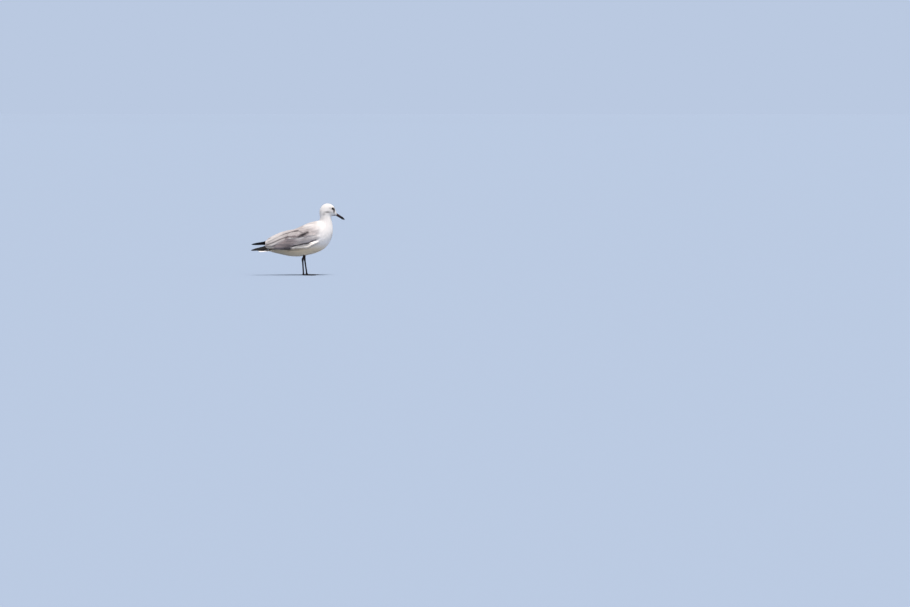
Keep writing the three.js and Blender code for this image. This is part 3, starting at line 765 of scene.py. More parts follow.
class Vanes:
    # gathers blades of one grid and turns them into one mesh
    def __init__(self, name, stations, lanes, slot, finish):
        self.name, self.stations, self.lanes = name, stations, lanes
        self.slot, self.finish = slot, finish
        self.points, self.undersides, self.readings, self.patches = [], [], [], []

    def add(self, grid, under, readings, patches):
        # grid: feathers x stations x lanes x 3, under: feathers x stations x 3
        self.points.append(grid)
        self.undersides.append(under)
        self.readings.append(readings)
        self.patches.append(patches)

    def finished(self):
        # writes the mesh, its readings for the finish, its patches on the unwrap and its soft normals
        grid = np.concatenate(self.points)
        under = np.concatenate(self.undersides)
        count, stations, lanes = grid.shape[:3]
        each = stations * lanes + stations
        points = np.concatenate([grid.reshape(count, -1, 3), under], axis=1).reshape(-1, 3)
        template = vaneFaces(stations, lanes)
        loops = np.concatenate([np.array(face) for face in template])
        sizes = np.array([len(face) for face in template])
        allLoops = (loops[None] + np.arange(count)[:, None] * each).ravel()
        allSizes = np.tile(sizes, count)
        mesh = bpy.data.meshes.new(self.name)
        mesh.vertices.add(len(points))
        mesh.vertices.foreach_set("co", points.astype(np.float32).ravel())
        mesh.loops.add(len(allLoops))
        mesh.loops.foreach_set("vertex_index", allLoops.astype(np.int32))
        mesh.polygons.add(len(allSizes))
        starts = np.concatenate([[0], np.cumsum(allSizes)[:-1]])
        mesh.polygons.foreach_set("loop_start", starts.astype(np.int32))
        mesh.polygons.foreach_set("loop_total", allSizes.astype(np.int32))
        mesh.update(calc_edges=True)
        mesh.validate()
        s = np.linspace(0, 1, stations)
        a = np.linspace(-1, 1, lanes)
        along = np.concatenate([np.repeat(s, lanes), s])
        across = np.concatenate([np.tile(a, stations), np.zeros(stations)])
        keepReading(mesh, "along", np.tile(along, count))
        keepReading(mesh, "across", np.tile(across, count))
        merged = {key: np.concatenate([r[key] for r in self.readings]) for key in self.readings[0]}
        for key in ("grey", "marksAndShadow", "black", "luck", "pale", "fringe", "bright"):
            values = merged.get(key, np.zeros(count))
            keepReading(mesh, key, values.ravel() if values.ndim == 2 else np.repeat(values, each))
        lengths = np.repeat(merged["length"], each)
        widths = np.repeat(merged["width"], each)
        # barbs run lengthways on a downy tuft, and slant from the shaft on a firm feather
        slant, cross = (0.15, 1.0) if "soft" in merged and merged["soft"][0] > 0.7 else (1.0, 0.8)
        sweep = slant * np.tile(along, count) * lengths - cross * np.abs(np.tile(across, count)) * widths
        barbs = np.column_stack([sweep, np.zeros(len(sweep)), np.repeat(merged["luck"], each)])
        keepReading(mesh, "barbs", barbs, "FLOAT_VECTOR")
        middles = np.concatenate(self.patches)
        size = merged.get("patch", np.full(count, patchSize))
        u = np.repeat(middles[:, 0], each) + np.repeat(size, each) * (np.tile(along, count) - 0.5)
        v = np.repeat(middles[:, 1], each) + np.repeat(size, each) * np.tile(across, count) * 0.5
        keepPatches(mesh, np.column_stack([u, v])[allLoops])
        mesh.shade_smooth()
        if "soft" in merged:
            # light falls on the coat as on one soft surface
            own = perVertex(mesh, "normal").reshape(count, each, 3)
            above = merged["normals"]
            guide = np.concatenate([above, above.reshape(grid.shape)[:, :, lanes // 2]], axis=1)
            own[:, stations * lanes:] = guide[:, stations * lanes:]
            blended = own * (1 - merged["soft"])[:, None, None] + guide * merged["soft"][:, None, None]
            mesh.normals_split_custom_set_from_vertices(unit(blended).reshape(-1, 3).tolist())
        else:
            mesh.set_sharp_from_angle(angle=math.radians(55))
        mesh.materials.append(self.finish)
        piece = bpy.data.objects.new(self.name, mesh)
        bpy.context.collection.objects.link(piece)
        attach(piece, "root")
        triangles = count * sum(len(face) - 2 for face in template)
        print(self.name + ":", count, "feathers,", triangles, "triangles")
        return piece


def nearestOn(tree, points):
    places, normals = np.empty_like(points), np.empty_like(points)
    for i, point in enumerate(points):
        place, normal, _, _ = tree.find_nearest(Vector(point))
        places[i], normals[i] = place, normal
    return places, normals


def hug(centres, sides, widths, rises, camber, thickness, lanes):
    # a grid of points over each centre line that follows the surface, lifted by rises (feathers x stations)
    count, stations = rises.shape
    a = np.linspace(-1, 1, lanes)
    grid = centres[:, :, None] + sides[:, :, None] * (a[None, None, :, None] * widths[:, :, None, None])
    places, normals = nearestOn(outerTree, grid.reshape(-1, 3))
    pinch = (1 - 0.9 * np.linspace(0, 1, stations) ** 4)[None, :, None]  # thin at the tip
    lift = rises[:, :, None] + camber[:, None, None] * (1 - a[None, None] ** 2) * pinch
    grid = (places + normals * np.broadcast_to(lift, grid.shape[:3]).reshape(-1, 1)).reshape(grid.shape)
    middleNormals = normals.reshape(grid.shape)[:, :, lanes // 2]
    # the ridge below goes deep enough that the underside stays under a hollow blade
    crown = grid[:, :, lanes // 2]
    level = np.sum((grid - crown[:, :, None]) * middleNormals[:, :, None], axis=3)
    edge = np.where(a < 0, level[:, :, :1], level[:, :, -1:])
    inner = slice(1, lanes - 1)
    reach = np.abs(a[inner])
    hollow = np.clip(((level - np.abs(a) * edge)[:, :, inner] / (1 - reach)).min(axis=2), -6 * mm, 0)
    near = np.pad(hollow, ((0, 0), (1, 1)), mode="edge")
    hollow = np.minimum(np.minimum(near[:, :-2], hollow), near[:, 2:])  # as deep as beside it
    under = crown + middleNormals * (hollow[:, :, None] - (thickness + camber[:, None, None] * 0.9) * pinch)
    return grid, under, normals.reshape(count, stations * lanes, 3)


def readingsOf(grid, under, share):
    # markings at every point of every feather, the rest of the share taken from the feather's middle
    count = len(grid)
    points = np.concatenate([grid.reshape(count, -1, 3), under], axis=1)
    middle = under[:, under.shape[1] * 2 // 3][:, None]
    grey, marksAndShadow = markingsAt((points * share + middle * (1 - share)).reshape(-1, 3))
    return {"grey": grey.reshape(count, -1), "marksAndShadow": marksAndShadow.reshape(count, -1)}


def lineOnSurface(roots, flows, lengths, stations):
    # walks from each root along the outer surface, turning the flow with it
    centres, sides = [], []
    place, normal = nearestOn(outerTree, roots)
    flow = flatten(flows, normal)
    step = (lengths / (stations - 1))[:, None]
    for _ in range(stations):
        centres.append(place)
        sides.append(unit(np.cross(normal, flow)))
        place, normal = nearestOn(outerTree, place + flow * step)
        flow = flatten(flow, normal)
    return np.stack(centres, axis=1), np.stack(sides, axis=1)


def layTufts(name, finish, sort, roots, lines, length, half, rise, look):
    # one piece of soft tufts: rise is given for every station, and look returns what the finish reads
    (centres, sides), count = lines, len(roots)
    stations, lanes = sort["stations"], sort["lanes"]
    half = half * (0.9 + 0.2 * chance.random(count))
    rises = rise + (sort["waver"] * chance.random(count))[:, None] * np.linspace(0, 1, stations)[None]
    widths = half[:, None] * tuftWidths(stations)[None]
    grid, under, normals = hug(centres, sides, widths, rises, half * 0.1, sort["thickness"], lanes)
    low, high = sort["stretch"]
    grid[:, -1] += (grid[:, -1] - grid[:, -2]) * (low + (high - low) * chance.random((count, lanes, 1)))
    readings = {"luck": chance.random(count), "length": length, "width": half, **look(grid, under, normals)}
    piece = Vanes(name, stations, lanes, "white_plumage", finish)
    piece.add(grid, under, readings, unwrapped(roots))
    piece.finished()


# eye places

eyeSizes = {
    "clear": 3.9,  # mm round the eye without roots of tufts
    "bare": 3.6,  # mm that no tuft reaches into
    "axis": (0.22, 0.06),  # how far the eye looks ahead and up
    "iris": linear(17, 11, 8),
    "fleck": linear(34, 22, 15),
    "white": linear(14, 10, 9),
    "irisAt": (0.24, 0.27),  # angles from the axis over which pupil and rim end
    "rimAt": (0.56, 0.66),
    "bulge": 0.035,
    "size": 0.995,  # of the solid eye
    "rings": 28,
    "sides": 48,
    "lidWide": 3.3,
    "lidTall": 2.85,
    "lid": linear(20, 12, 12),
    "lidPale": linear(38, 24, 24),
    "lidSides": 56,
    # shares of the opening and mm over the eyeball, from the inside out
    "lidProfile": [(0.94, -0.3), (1.0, 0.3), (1.07, 0.4), (1.16, 0.34), (1.26, 0.05), (1.4, -0.8)],
}
eyeMiddle = {}
for side in signOf:
    low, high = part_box("eye_" + side)
    eyeMiddle[side] = (Vector(low) + Vector(high)) / 2


def eyeAxis(side):
    ahead, up = eyeSizes["axis"]
    return Vector((ahead, signOf[side], up)).normalized()


# body coat, scattered evenly with a spacing that follows the size of the feathers

bodyCoat = {
    "stations": 5,
    "lanes": 5,
    "spacing": 0.138,  # of the feather length
    "widthShare": 0.15,  # half width as a share of the length
    "thickness": 0.07 * mm,
    "turn": 7.0,  # degrees of disorder
    "softness": 0.85,  # how far light treats the coat as one surface
    "candidates": 260000,
    "sunk": 0.55,  # how far roots lie in the coat's depth
    "low": 0.05 * mm,  # how far the whole tuft lies below the surface
    "waver": 0.1 * mm,
    "stretch": (-0.65, 0.1),  # how much a tip's last stretch is shorter or longer
    "cuts": (0.42, 0.62, 0.75),  # shares along the body between the pieces
    "bellyTop": 0.1,
    "ends": (-96.5, 132.4),  # x in mm of the hindmost and foremost roots
    "thigh": (24, 70, 9, 6, 0),  # x, z, half length, half height in mm and tilt of a place with short tufts
    "thighShorter": 0.45,
    "setBack": 0.25,  # of a tuft's length, that its root lies ahead of its place
}


def crowded(place, gap, cell, shelves, places):
    # whether a place that was kept lies nearer than the gap
    reach = int(math.ceil(gap / cell))
    base = [int(math.floor(c / cell)) for c in place]
    for shelf in itertools.product(*(range(c - reach, c + reach + 1) for c in base)):
        for j in shelves.get(shelf, ()):
            other = places[j]
            dx, dy, dz = place[0] - other[0], place[1] - other[1], place[2] - other[2]
            if dx ** 2 + dy ** 2 + dz ** 2 < gap * gap:
                return True
    return False


def scatter(piece, spacingOf, allowed, candidates):
    # random places on a mesh, thinned so that none is nearer than its spacing
    mesh = piece.data
    points = perVertex(mesh)[trianglesOf(mesh)]
    first, second = points[:, 1] - points[:, 0], points[:, 2] - points[:, 0]
    area = np.linalg.norm(np.cross(first, second), axis=1)
    middle = points.mean(axis=1)
    wanted = area / np.maximum(spacingOf(middle), 0.2 * mm) ** 2 * allowed(middle)
    picks = chance.choice(len(wanted), size=candidates, p=wanted / wanted.sum())
    a, b = chance.random((2, candidates))
    flip = a + b > 1
    a, b = np.where(flip, 1 - a, a), np.where(flip, 1 - b, b)
    places = points[picks, 0] + a[:, None] * first[picks] + b[:, None] * second[picks]
    spacing = spacingOf(places)
    cell = 2.5 * mm
    kept, shelves = [], {}
    for i in range(candidates):
        if not crowded(places[i], spacing[i], cell, shelves, places):
            kept.append(i)
            shelves.setdefault(tuple(int(math.floor(c / cell)) for c in places[i]), []).append(i)
    return places[kept]


def featherLength(points):
    share, _, _ = placeOn(points)
    thigh = spot(points[:, 0] / mm, points[:, 2] / mm, *bodyCoat["thigh"])
    return bySection(share, 4) * (1 - bodyCoat["thighShorter"] * thigh) * mm


def fromEye(points):
    # distance in mm from the axis of the nearer eye
    nearest = np.full(len(points), 1e9)
    for side in signOf:
        axis = np.array(eyeAxis(side))
        gap = points - np.array(eyeMiddle[side])
        ahead = gap @ axis
        off = np.linalg.norm(gap - ahead[:, None] * axis, axis=1) / mm
        nearest = np.minimum(nearest, np.where(ahead > 0, off, 1e9))
    return nearest


foldedWing = {
    # x and height in mm of the wing's upper and lower edge
    "top": ([-112, -95, -78, -58, -38, -18, 5, 28, 50, 70, 86],
            [116, 128, 137, 145, 151, 154, 156, 157, 155, 151, 137]),
    "low": ([-112, -95, -58, -18, 5, 28, 50, 70, 86], [96, 89, 87, 91, 97.5, 102, 107, 113.5, 129]),
    # where no tuft grows, all in mm
    "under": (8, 62, 9, 1),  # further out, behind this x, and by so much inside the upper and lower edge
    "beside": (30, 100, 1.5),  # behind this x, above this height, and nearer to the wing
    "between": (-48, 100),  # behind this x and above this height
}


def bodyAllowed(points):
    # nothing grows round the eye, past tail and bill, under or beside a wing, and between the wings
    x, y, z = points[:, 0] / mm, np.abs(points[:, 1]) / mm, points[:, 2] / mm
    rear, front = bodyCoat["ends"]
    allowed = (x > rear) & (x < front) & (fromEye(points) > eyeSizes["clear"])
    top, low = (np.interp(x, *foldedWing[edge]) for edge in ("top", "low"))
    out, front, below, above = foldedWing["under"]
    hidden = (y > out) & (x < front) & (z < top - below) & (z > low + above)
    front, above, near = foldedWing["beside"]
    hidden |= (x < front) & (z > above) & (fromWing(points) < near)
    front, above = foldedWing["between"]
    hidden |= (x < front) & (z > above)
    return (allowed & ~hidden).astype(float)


def coatParts(share, height, right):
    # which tufts each piece of the coat holds
    rump, breast, throat = bodyCoat["cuts"]
    face, rear, back = share > throat, share <= rump, height > bodyCoat["bellyTop"]
    return {
        "coatFaceRight": face & right,
        "coatFaceLeft": face & ~right,
        "coatNape": (share > breast) & ~face,
        "coatNeck": ~rear & (share <= breast),
        "coatBack": rear & back,
        "coatBellyRight": rear & ~back & right,
        "coatBellyLeft": rear & ~back & ~right,
    }


def tuftLines(roots, flow, lengths):
    # centre lines of body tufts; those that would cross an eye are shortened, in lengths too
    stations, whole = bodyCoat["stations"], lengths.copy()
    centres, sides = lineOnSurface(roots, flow, lengths, stations)
    for shorter in (0.75, 0.5, 0.35):
        near = fromEye(centres.reshape(-1, 3)).reshape(-1, stations).min(axis=1) < eyeSizes["bare"]
        if near.any():
            lengths[near] = whole[near] * shorter
            centres[near], sides[near] = lineOnSurface(roots[near], flow[near], lengths[near], stations)
    return centres, sides


def tuftSpacing(points):
    return featherLength(points) * bodyCoat["spacing"]


def makeBodyCoat():
    roots = scatter(outer, tuftSpacing, bodyAllowed, bodyCoat["candidates"])
    share, height, flow = placeOn(roots)
    lengths = featherLength(roots) * (0.9 + 0.2 * chance.random(len(roots)))
    turn = np.radians(bodyCoat["turn"]) * chance.normal(size=len(roots))
    _, normals = nearestOn(outerTree, roots)
    flow = flatten(flow, normals)
    flow = flow * np.cos(turn)[:, None] + np.cross(normals, flow) * np.sin(turn)[:, None]
    roots = roots - flow * (lengths * bodyCoat["setBack"])[:, None]
    clear = fromEye(roots) > eyeSizes["bare"]
    roots, flow, lengths, share, height = (values[clear] for values in (roots, flow, lengths, share, height))
    depth = bySection(share, 5) * mm
    sink = bodyCoat["sunk"] * (1 - np.linspace(0, 1, bodyCoat["stations"])[None]) ** 1.8

    def look(grid, under, normals):
        soft = np.full(len(grid), bodyCoat["softness"])
        return {**readingsOf(grid, under, 0.6), "normals": normals, "soft": soft}

    for name, chosen in coatParts(share, height, roots[:, 1] < 0).items():
        length = lengths[chosen]
        lines = tuftLines(roots[chosen], flow[chosen], length)
        rise = -depth[chosen][:, None] * sink - bodyCoat["low"]
        half = length * bodyCoat["widthShare"]
        layTufts(name, plumageFinish, bodyCoat, roots[chosen], lines, length, half, rise, look)


makeBodyCoat()


# wing tracts, drawn in the side view and laid on the outer surface

def meeting(centre, outwards):
    # where a line from outside towards a centre meets the outer surface
    place = outerTree.ray_cast(centre + outwards * 0.2, -outwards)[0]
    return outerTree.find_nearest(centre + outwards * 0.02)[0] if place is None else place


def sideHits(side, x, z):
    # the outer surface seen from the bird's side, at x and z in mm
    outwards = Vector((0, signOf[side], 0))
    return np.array([meeting(Vector((a * mm, 0, b * mm)), outwards) for a, b in zip(x, z)])


def roundHits(side, x, angle):
    # the outer surface seen from an angle above the side in degrees, at x in mm
    heights = np.interp(x, *wingGrid["middles"])
    places = []
    for a, b, turn in zip(x, heights, np.radians(angle)):
        outwards = Vector((0, signOf[side] * math.cos(turn), math.sin(turn)))
        places.append(meeting(Vector((a, 0, b)) * mm, outwards))
    return np.array(places)


def tract(count, rootsFrom, rootsTo, tipsFrom, tipsTo, width, rise, bow=0.0, **look):
    # a row of feathers: straight rows of roots and tips between two ends, half width and rise, all in mm
    share = np.linspace(0, 1, count)[:, None]
    return {
        "roots": np.array(rootsFrom) * (1 - share) + np.array(rootsTo) * share,
        "tips": np.array(tipsFrom) * (1 - share) + np.array(tipsTo) * share,
        "width": np.linspace(*width, count),
        "rise": rise,
        "bow": bow,
        **look,
    }


# lowest first; shade multiplies the grey, tip is the share of the length that narrows, lit turns the light on
# a row upwards; places are x and z, and for round rows x and degrees above the side
wingTracts = {
    "secondaries": tract(13, (46, 114), (-50, 124), (-4, 98), (-104, 96), (6.8, 6.8), (-1.6, -0.7), -2.0,
                         shade=1.05, fringe=0.3, tip=0.2, lit=0.5),
    "greater": tract(15, (62, 124), (-34, 129), (20, 107), (-80, 108), (6.8, 6.8), (-1.2, -0.2), -1.2,
                     shade=1.0, fringe=0.2, tip=0.25, lit=0.25),
    "median": tract(15, (72, 131), (-18, 136), (40, 115), (-52, 120), (6.6, 6.6), (-1.0, 0.0), -0.8,
                    shade=1.02, fringe=0.15, tip=0.4),
    "lesser": tract(15, (78, 138), (-6, 144), (52, 124), (-36, 130), (6.2, 6.2), (-0.9, 0.1), -0.5,
                    shade=1.0, fringe=0.12, tip=0.45),
    "shoulder": tract(11, (84, 140), (30, 150), (62, 132), (4, 139), (6.0, 6.0), (-0.9, 0.2),
                      shade=0.95, fringe=0.1, tip=0.5),
    "tertials": tract(7, (-8, 60), (-14, 88), (-108, 4), (-112, 84), (6.6, 6.0), (-0.8, 0.9),
                      shade=0.78, fringe=0.9, tip=0.2, round=True),
    "scapularsLow": tract(11, (72, 156), (2, 146), (46, 136), (-42, 125), (7.0, 8.6), (-0.8, 1.5), 1.0,
                          shade=1.08, fringe=0.6, tip=0.4),
    "scapularsMiddle": tract(11, (70, 165), (6, 151), (46, 148), (-34, 135), (7.0, 8.4), (-0.7, 1.3), 0.8,
                             shade=0.88, fringe=0.3, tip=0.4),
    "mantleUnder": tract(17, (62, 58), (-34, 74), (36, 55), (-66, 68), (9.5, 9.5), (-1.3, 0.0),
                         shade=0.9, fringe=0.1, tip=0.5, round=True),
    "rump": tract(6, (-46, 84), (-68, 89), (-88, 82), (-105, 88), (6.2, 6.2), (-0.9, 0.7),
                  shade=0.8, fringe=0.4, tip=0.3, round=True),
    "mantleSide": tract(10, (44, 40), (-22, 62), (16, 38), (-52, 56), (7.4, 7.4), (-0.9, 0.8),
                        shade=0.9, fringe=0.2, tip=0.4, round=True),
    "mantleLow": tract(11, (64, 50), (-14, 66), (34, 46), (-46, 60), (7.0, 7.0), (-0.9, 0.8),
                       shade=0.9, fringe=0.15, tip=0.4, round=True),
    "mantle": tract(11, (60, 66), (-18, 76), (30, 64), (-52, 72), (7.0, 7.0), (-0.9, 0.7),
                    shade=0.9, fringe=0.12, tip=0.4, round=True),
    "mantleTop": tract(11, (64, 82), (-14, 85), (34, 80), (-50, 82), (7.0, 7.0), (-0.9, 0.7),
                       shade=0.9, fringe=0.12, tip=0.4, round=True),
}
wingTracts["tertials"]["tips"][:, 0] += 42 * np.linspace(0, 1, 7) ** 4  # the inner ones are shorter
wingGrid = {
    "stations": 13,
    "lanes": 9,
    "thickness": 0.16 * mm,
    "disorder": 0.8,
    "camber": 0.05,  # of the half width
    "waver": 0.15 * mm,
    "softness": 0.6,
    "middles": ([-112, -60, 0, 60, 90], [100, 104, 112, 122, 135]),  # x and z in mm, for round rows
}


def makeWingFeathers(side):
    stations, lanes = wingGrid["stations"], wingGrid["lanes"]
    piece = Vanes("wingFeathers_" + side, stations, lanes, "grey_plumage", bigPlumageFinish)
    s = np.linspace(0, 1, stations)
    for row in wingTracts.values():
        count = len(row["roots"])
        jitter = chance.normal(size=(count, 2)) * wingGrid["disorder"]
        roots, tips = row["roots"] + jitter, row["tips"] + jitter[:, ::-1]
        line = roots[:, None] * (1 - s[None, :, None]) + tips[:, None] * s[None, :, None]
        line[:, :, 1] += row["bow"] * np.sin(math.pi * s)[None]
        hits = roundHits if row.get("round") else sideHits
        centres, normals = nearestOn(outerTree, hits(side, line[:, :, 0].ravel(), line[:, :, 1].ravel()))
        centres, normals = centres.reshape(count, stations, 3), normals.reshape(count, stations, 3)
        sides = unit(np.cross(normals, unit(np.gradient(centres, axis=1))))
        length = np.linalg.norm(np.diff(centres, axis=1), axis=2).sum(axis=1)
        half = row["width"] * mm
        widths = half[:, None] * vaneWidths(stations, row["tip"])[None]
        low, high = row["rise"]
        waver = (wingGrid["waver"] * chance.random(count))[:, None]
        rises = (low + (high - low) * s[None] ** 0.8) * mm + waver
        grid, under, normals = hug(
            centres, sides, widths, rises, half * wingGrid["camber"], wingGrid["thickness"], lanes)
        readings = readingsOf(grid, under, 0.8)
        readings["grey"] *= row["shade"]
        normals = unit(normals + np.array([0, 0, row.get("lit", 0.0)]))
        readings.update(luck=chance.random(count), length=length, width=half, normals=normals,
                        fringe=np.full(count, row["fringe"]), soft=np.full(count, wingGrid["softness"]))
        piece.add(grid, under, readings, unwrapped(centres[:, 0]))
    piece.finished()


def makeFlank(side):
    count, line, stations = flank["count"], flank["line"], flank["stations"]
    share = chance.random(count) * (len(line) - 1)
    x, z, tall = between(line, share, 0, 1, 2)
    ahead = np.clip(share + 0.3, 0, len(line) - 1)
    aheadX, aheadZ = between(line, ahead, 0, 1)
    behindX, behindZ = between(line, ahead - 0.6, 0, 1)
    flow = unit(np.stack([aheadX - behindX, np.zeros(count), aheadZ - behindZ], axis=1))
    off = chance.random(count) * 2 - 1
    forwards, up = flank["shift"]
    roots = sideHits(side, x + forwards, z + up + off * tall)
    length = flank["length"] * (0.8 + 0.4 * chance.random(count))
    low, high = flank["rise"]
    front, rear = flank["fade"]
    ends = smoothly(share, *front) * (1 - smoothly(share, *rear))
    lift = (high - low) * (1 - 0.35 * np.abs(off)) * ends
    rise = (low + lift[:, None] * np.linspace(0, 1, stations)[None] ** 0.8) * mm

    def look(grid, under, normals):
        lit = unit(normals + np.array([0, 0, flank["lit"]]) * ends[:, None, None])
        return {"normals": lit, "bright": np.maximum(ends, 0.3), "soft": np.full(count, flank["softness"])}

    lines = lineOnSurface(roots, flow, length, stations)
    layTufts("flank_" + side, bigPlumageFinish, flank, roots, lines, length, flank["width"], rise, look)


for side in signOf:
    makeWingFeathers(side)
    makeFlank(side)


# long feathers of wing tips and tail

longGrid = {"stations": 22, "lanes": 11}
wingTips = {
    # in mm, heights and distances from the middle plane at the root and the tip of the longest feather
    "right": {"reach": 159.6, "rootY": 12.4, "tipY": 8.4, "rootZ": 98.4, "tipZ": 85},
    "left": {"reach": 158, "rootY": 12.4, "tipY": 7.4, "rootZ": 111.8, "tipZ": 104.8},
}
primaries = {
    "count": 5,
    "rootX": 86,  # mm behind the middle
    "shorter": (0.24, 1.15),  # of the reach, up to the last feather, and how that grows
    # mm from the first feather to the last: all along, added at the root, towards the middle, and apart
    "up": 3.8,
    "rootUp": 3.2,
    "inwards": 1.4,
    "apart": 0.5,
    "lean": 0.75,  # how far the blades face up
    "half": (6.5, 3.2, 0.6, 0.3),  # mm, two powers that shape the tip, and mm at the tip
    "swell": (0.45, 0.27, 0.13),  # broader by this share at one place along, over some length
    "camber": 0.14,
    "thickness": 0.5 * mm,
    "width": 4.9 * mm,  # taken for the barbs
    "patch": 0.15,
    "patchRows": (0.1, 0.18),
}
tailShape = {
    "feathers": 12,
    "rootX": -74,
    "tipX": -137,
    "rootZ": 88.2,
    "tipZ": 84.6,
    "rootHalf": 7.6,
    "spread": 6.5,  # degrees
    "droop": 2.6,
    "shorter": 0.05,  # of the length, out to the sides
    "half": (4.6, 0.7, 0.5, 0.2),  # mm, share at the root, added to the tip, and mm at the tip
    "round": (0.14, 2.4, 0.45),  # share of the length that narrows, and two powers that shape it
    "camber": 0.1,
    "thickness": 0.45 * mm,
    "width": 4.4 * mm,
    "patch": 0.06,
    "patchRows": (0.08, 0.075),
}


def layLong(name, slot, finish, shape, places, normals, halves, length, looks):
    # one piece of long feathers: blades across their centre lines, arched along the shaft
    count, stations, lanes = len(places), longGrid["stations"], longGrid["lanes"]
    centres = places * mm
    sides = unit(np.cross(normals, unit(np.gradient(centres, axis=1))))
    a = np.linspace(-1, 1, lanes)
    widths = (halves * mm)[None, :, None, None]
    grid = centres[:, :, None] + sides[:, :, None] * (a[None, None, :, None] * widths)
    grid = grid - normals[:, :, None] * (shape["camber"] * (a ** 2))[None, None, :, None] * widths
    looks = {**looks, "width": shape["width"], "patch": shape["patch"]}
    readings = {"luck": chance.random(count), "length": length * mm}
    readings.update({key: np.full(count, value) for key, value in looks.items()})
    first, step = shape["patchRows"]
    piece = Vanes(name, stations, lanes, slot, finish)
    piece.add(grid, centres - normals * shape["thickness"], readings,
              np.column_stack([np.full(count, 0.5), first + step * np.arange(count)]))
    return piece.finished()


def makeWingTip(side):
    shape, sign = wingTips[side], signOf[side]
    s = np.linspace(0, 1, longGrid["stations"])
    back = (np.arange(primaries["count"]) / (primaries["count"] - 1))[:, None]
    shorter, growth = primaries["shorter"]
    reach = shape["reach"] * (1 - shorter * back ** growth)
    x = -primaries["rootX"] - (reach - primaries["rootX"]) * s
    rootZ, inwards = shape["rootZ"] + primaries["up"] * back, primaries["inwards"] * back
    z = rootZ + (shape["tipZ"] - rootZ) * s ** 1.15 + primaries["rootUp"] * back * (1 - s)
    y = shape["rootY"] - inwards + (shape["tipY"] - shape["rootY"] + inwards) * s - primaries["apart"] * back
    places = np.stack([x, sign * y, z], axis=2)
    normals = np.broadcast_to(unit(np.array([0.0, sign, primaries["lean"]])), places.shape)
    half, bend, point, tip = primaries["half"]
    more, at, over = primaries["swell"]
    halves = half * np.maximum(1 - s ** bend, 0.0) ** point + tip
    halves = halves * (1 + more * np.exp(-((s - at) / over) ** 2))
    made = layLong("primaries_" + side, "black_plumage", flightFinish, primaries, places, normals, halves,
                   reach[:, 0] - primaries["rootX"], {"black": 1.0})
    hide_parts("wing_tip_" + side)


def makeTail():
    shape, count = tailShape, tailShape["feathers"]
    s = np.linspace(0, 1, longGrid["stations"])
    out = np.linspace(-1, 1, count)[:, None]
    spread = np.radians(shape["spread"])
    length = (shape["rootX"] - shape["tipX"]) * (1 - shape["shorter"] * out ** 2)
    x = shape["rootX"] - length * s * np.cos(spread * out)
    y = shape["rootHalf"] * out + length * s * np.sin(spread * out)
    z = shape["rootZ"] + (shape["tipZ"] - shape["rootZ"]) * s - shape["droop"] * out ** 2
    lean = 2 * shape["droop"] * out / (shape["rootHalf"] + length * s * np.sin(spread))
    normals = unit(np.stack([np.zeros_like(lean), lean, np.ones_like(lean)], axis=2))
    half, root, growth, tip = shape["half"]
    share, bend, point = shape["round"]
    rounding = np.maximum(1 - np.clip((s - 1 + share) / share, 0, 1) ** bend, 0) ** point
    halves = half * (root + growth * s) * rounding + tip
    looks = {"grey": 0.03, "pale": 0.3, "fringe": 0.2, "bright": 1.0}
    made = layLong("tailFeathers", "white_plumage", bigPlumageFinish, shape, np.stack([x, y, z], axis=2),
                   normals, halves, length[:, 0], looks)
    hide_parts("tail")


for side in signOf:
    makeWingTip(side)
makeTail()


# eyes

def makeEyeball(side, radius, axis, ahead, over):
    points, faces = [], []
    rings, sides, size = eyeSizes["rings"], eyeSizes["sides"], radius * eyeSizes["size"]
    for turn in math.pi * np.arange(rings + 1) / rings:
        bulge = 1.0 + eyeSizes["bulge"] * math.exp(-(turn / 0.4) ** 2)
        for swing in 2 * math.pi * np.arange(sides) / sides:
            outwards = (ahead * math.cos(swing) + over * math.sin(swing)) * math.sin(turn)
            points.append(eyeMiddle[side] + (axis * math.cos(turn) * bulge + outwards) * size)
    for i in range(rings):
        for j in range(sides):
            a, b = i * sides + j, i * sides + (j + 1) % sides
            faces.append((a, b, b + sides, a + sides) if side == "right" else (a, a + sides, b + sides, b))
    eye = objectFrom("eyeball_" + side, points, faces)
    keepReading(eye.data, "turn", np.repeat(np.arange(rings + 1) / rings, sides) * math.pi)
    finish = Finish("eye_" + side)
    turn = finish.reading("turn")
    iris = finish.mix(finish.noise(900.0, 4.0), eyeSizes["iris"], eyeSizes["fleck"])
    colour = finish.mix(turn.ramp(*eyeSizes["irisAt"]), (0.001, 0.001, 0.001, 1), iris)
    colour = finish.mix(turn.ramp(*eyeSizes["rimAt"]), colour, eyeSizes["white"])
    eye.data.materials.append(finish.set(
        Base_Color=colour, Roughness=0.2, Coat_Weight=0.3, Coat_Roughness=0.04))
    eye.data.shade_smooth()
    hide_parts("eye_" + side)
    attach(eye, "root")


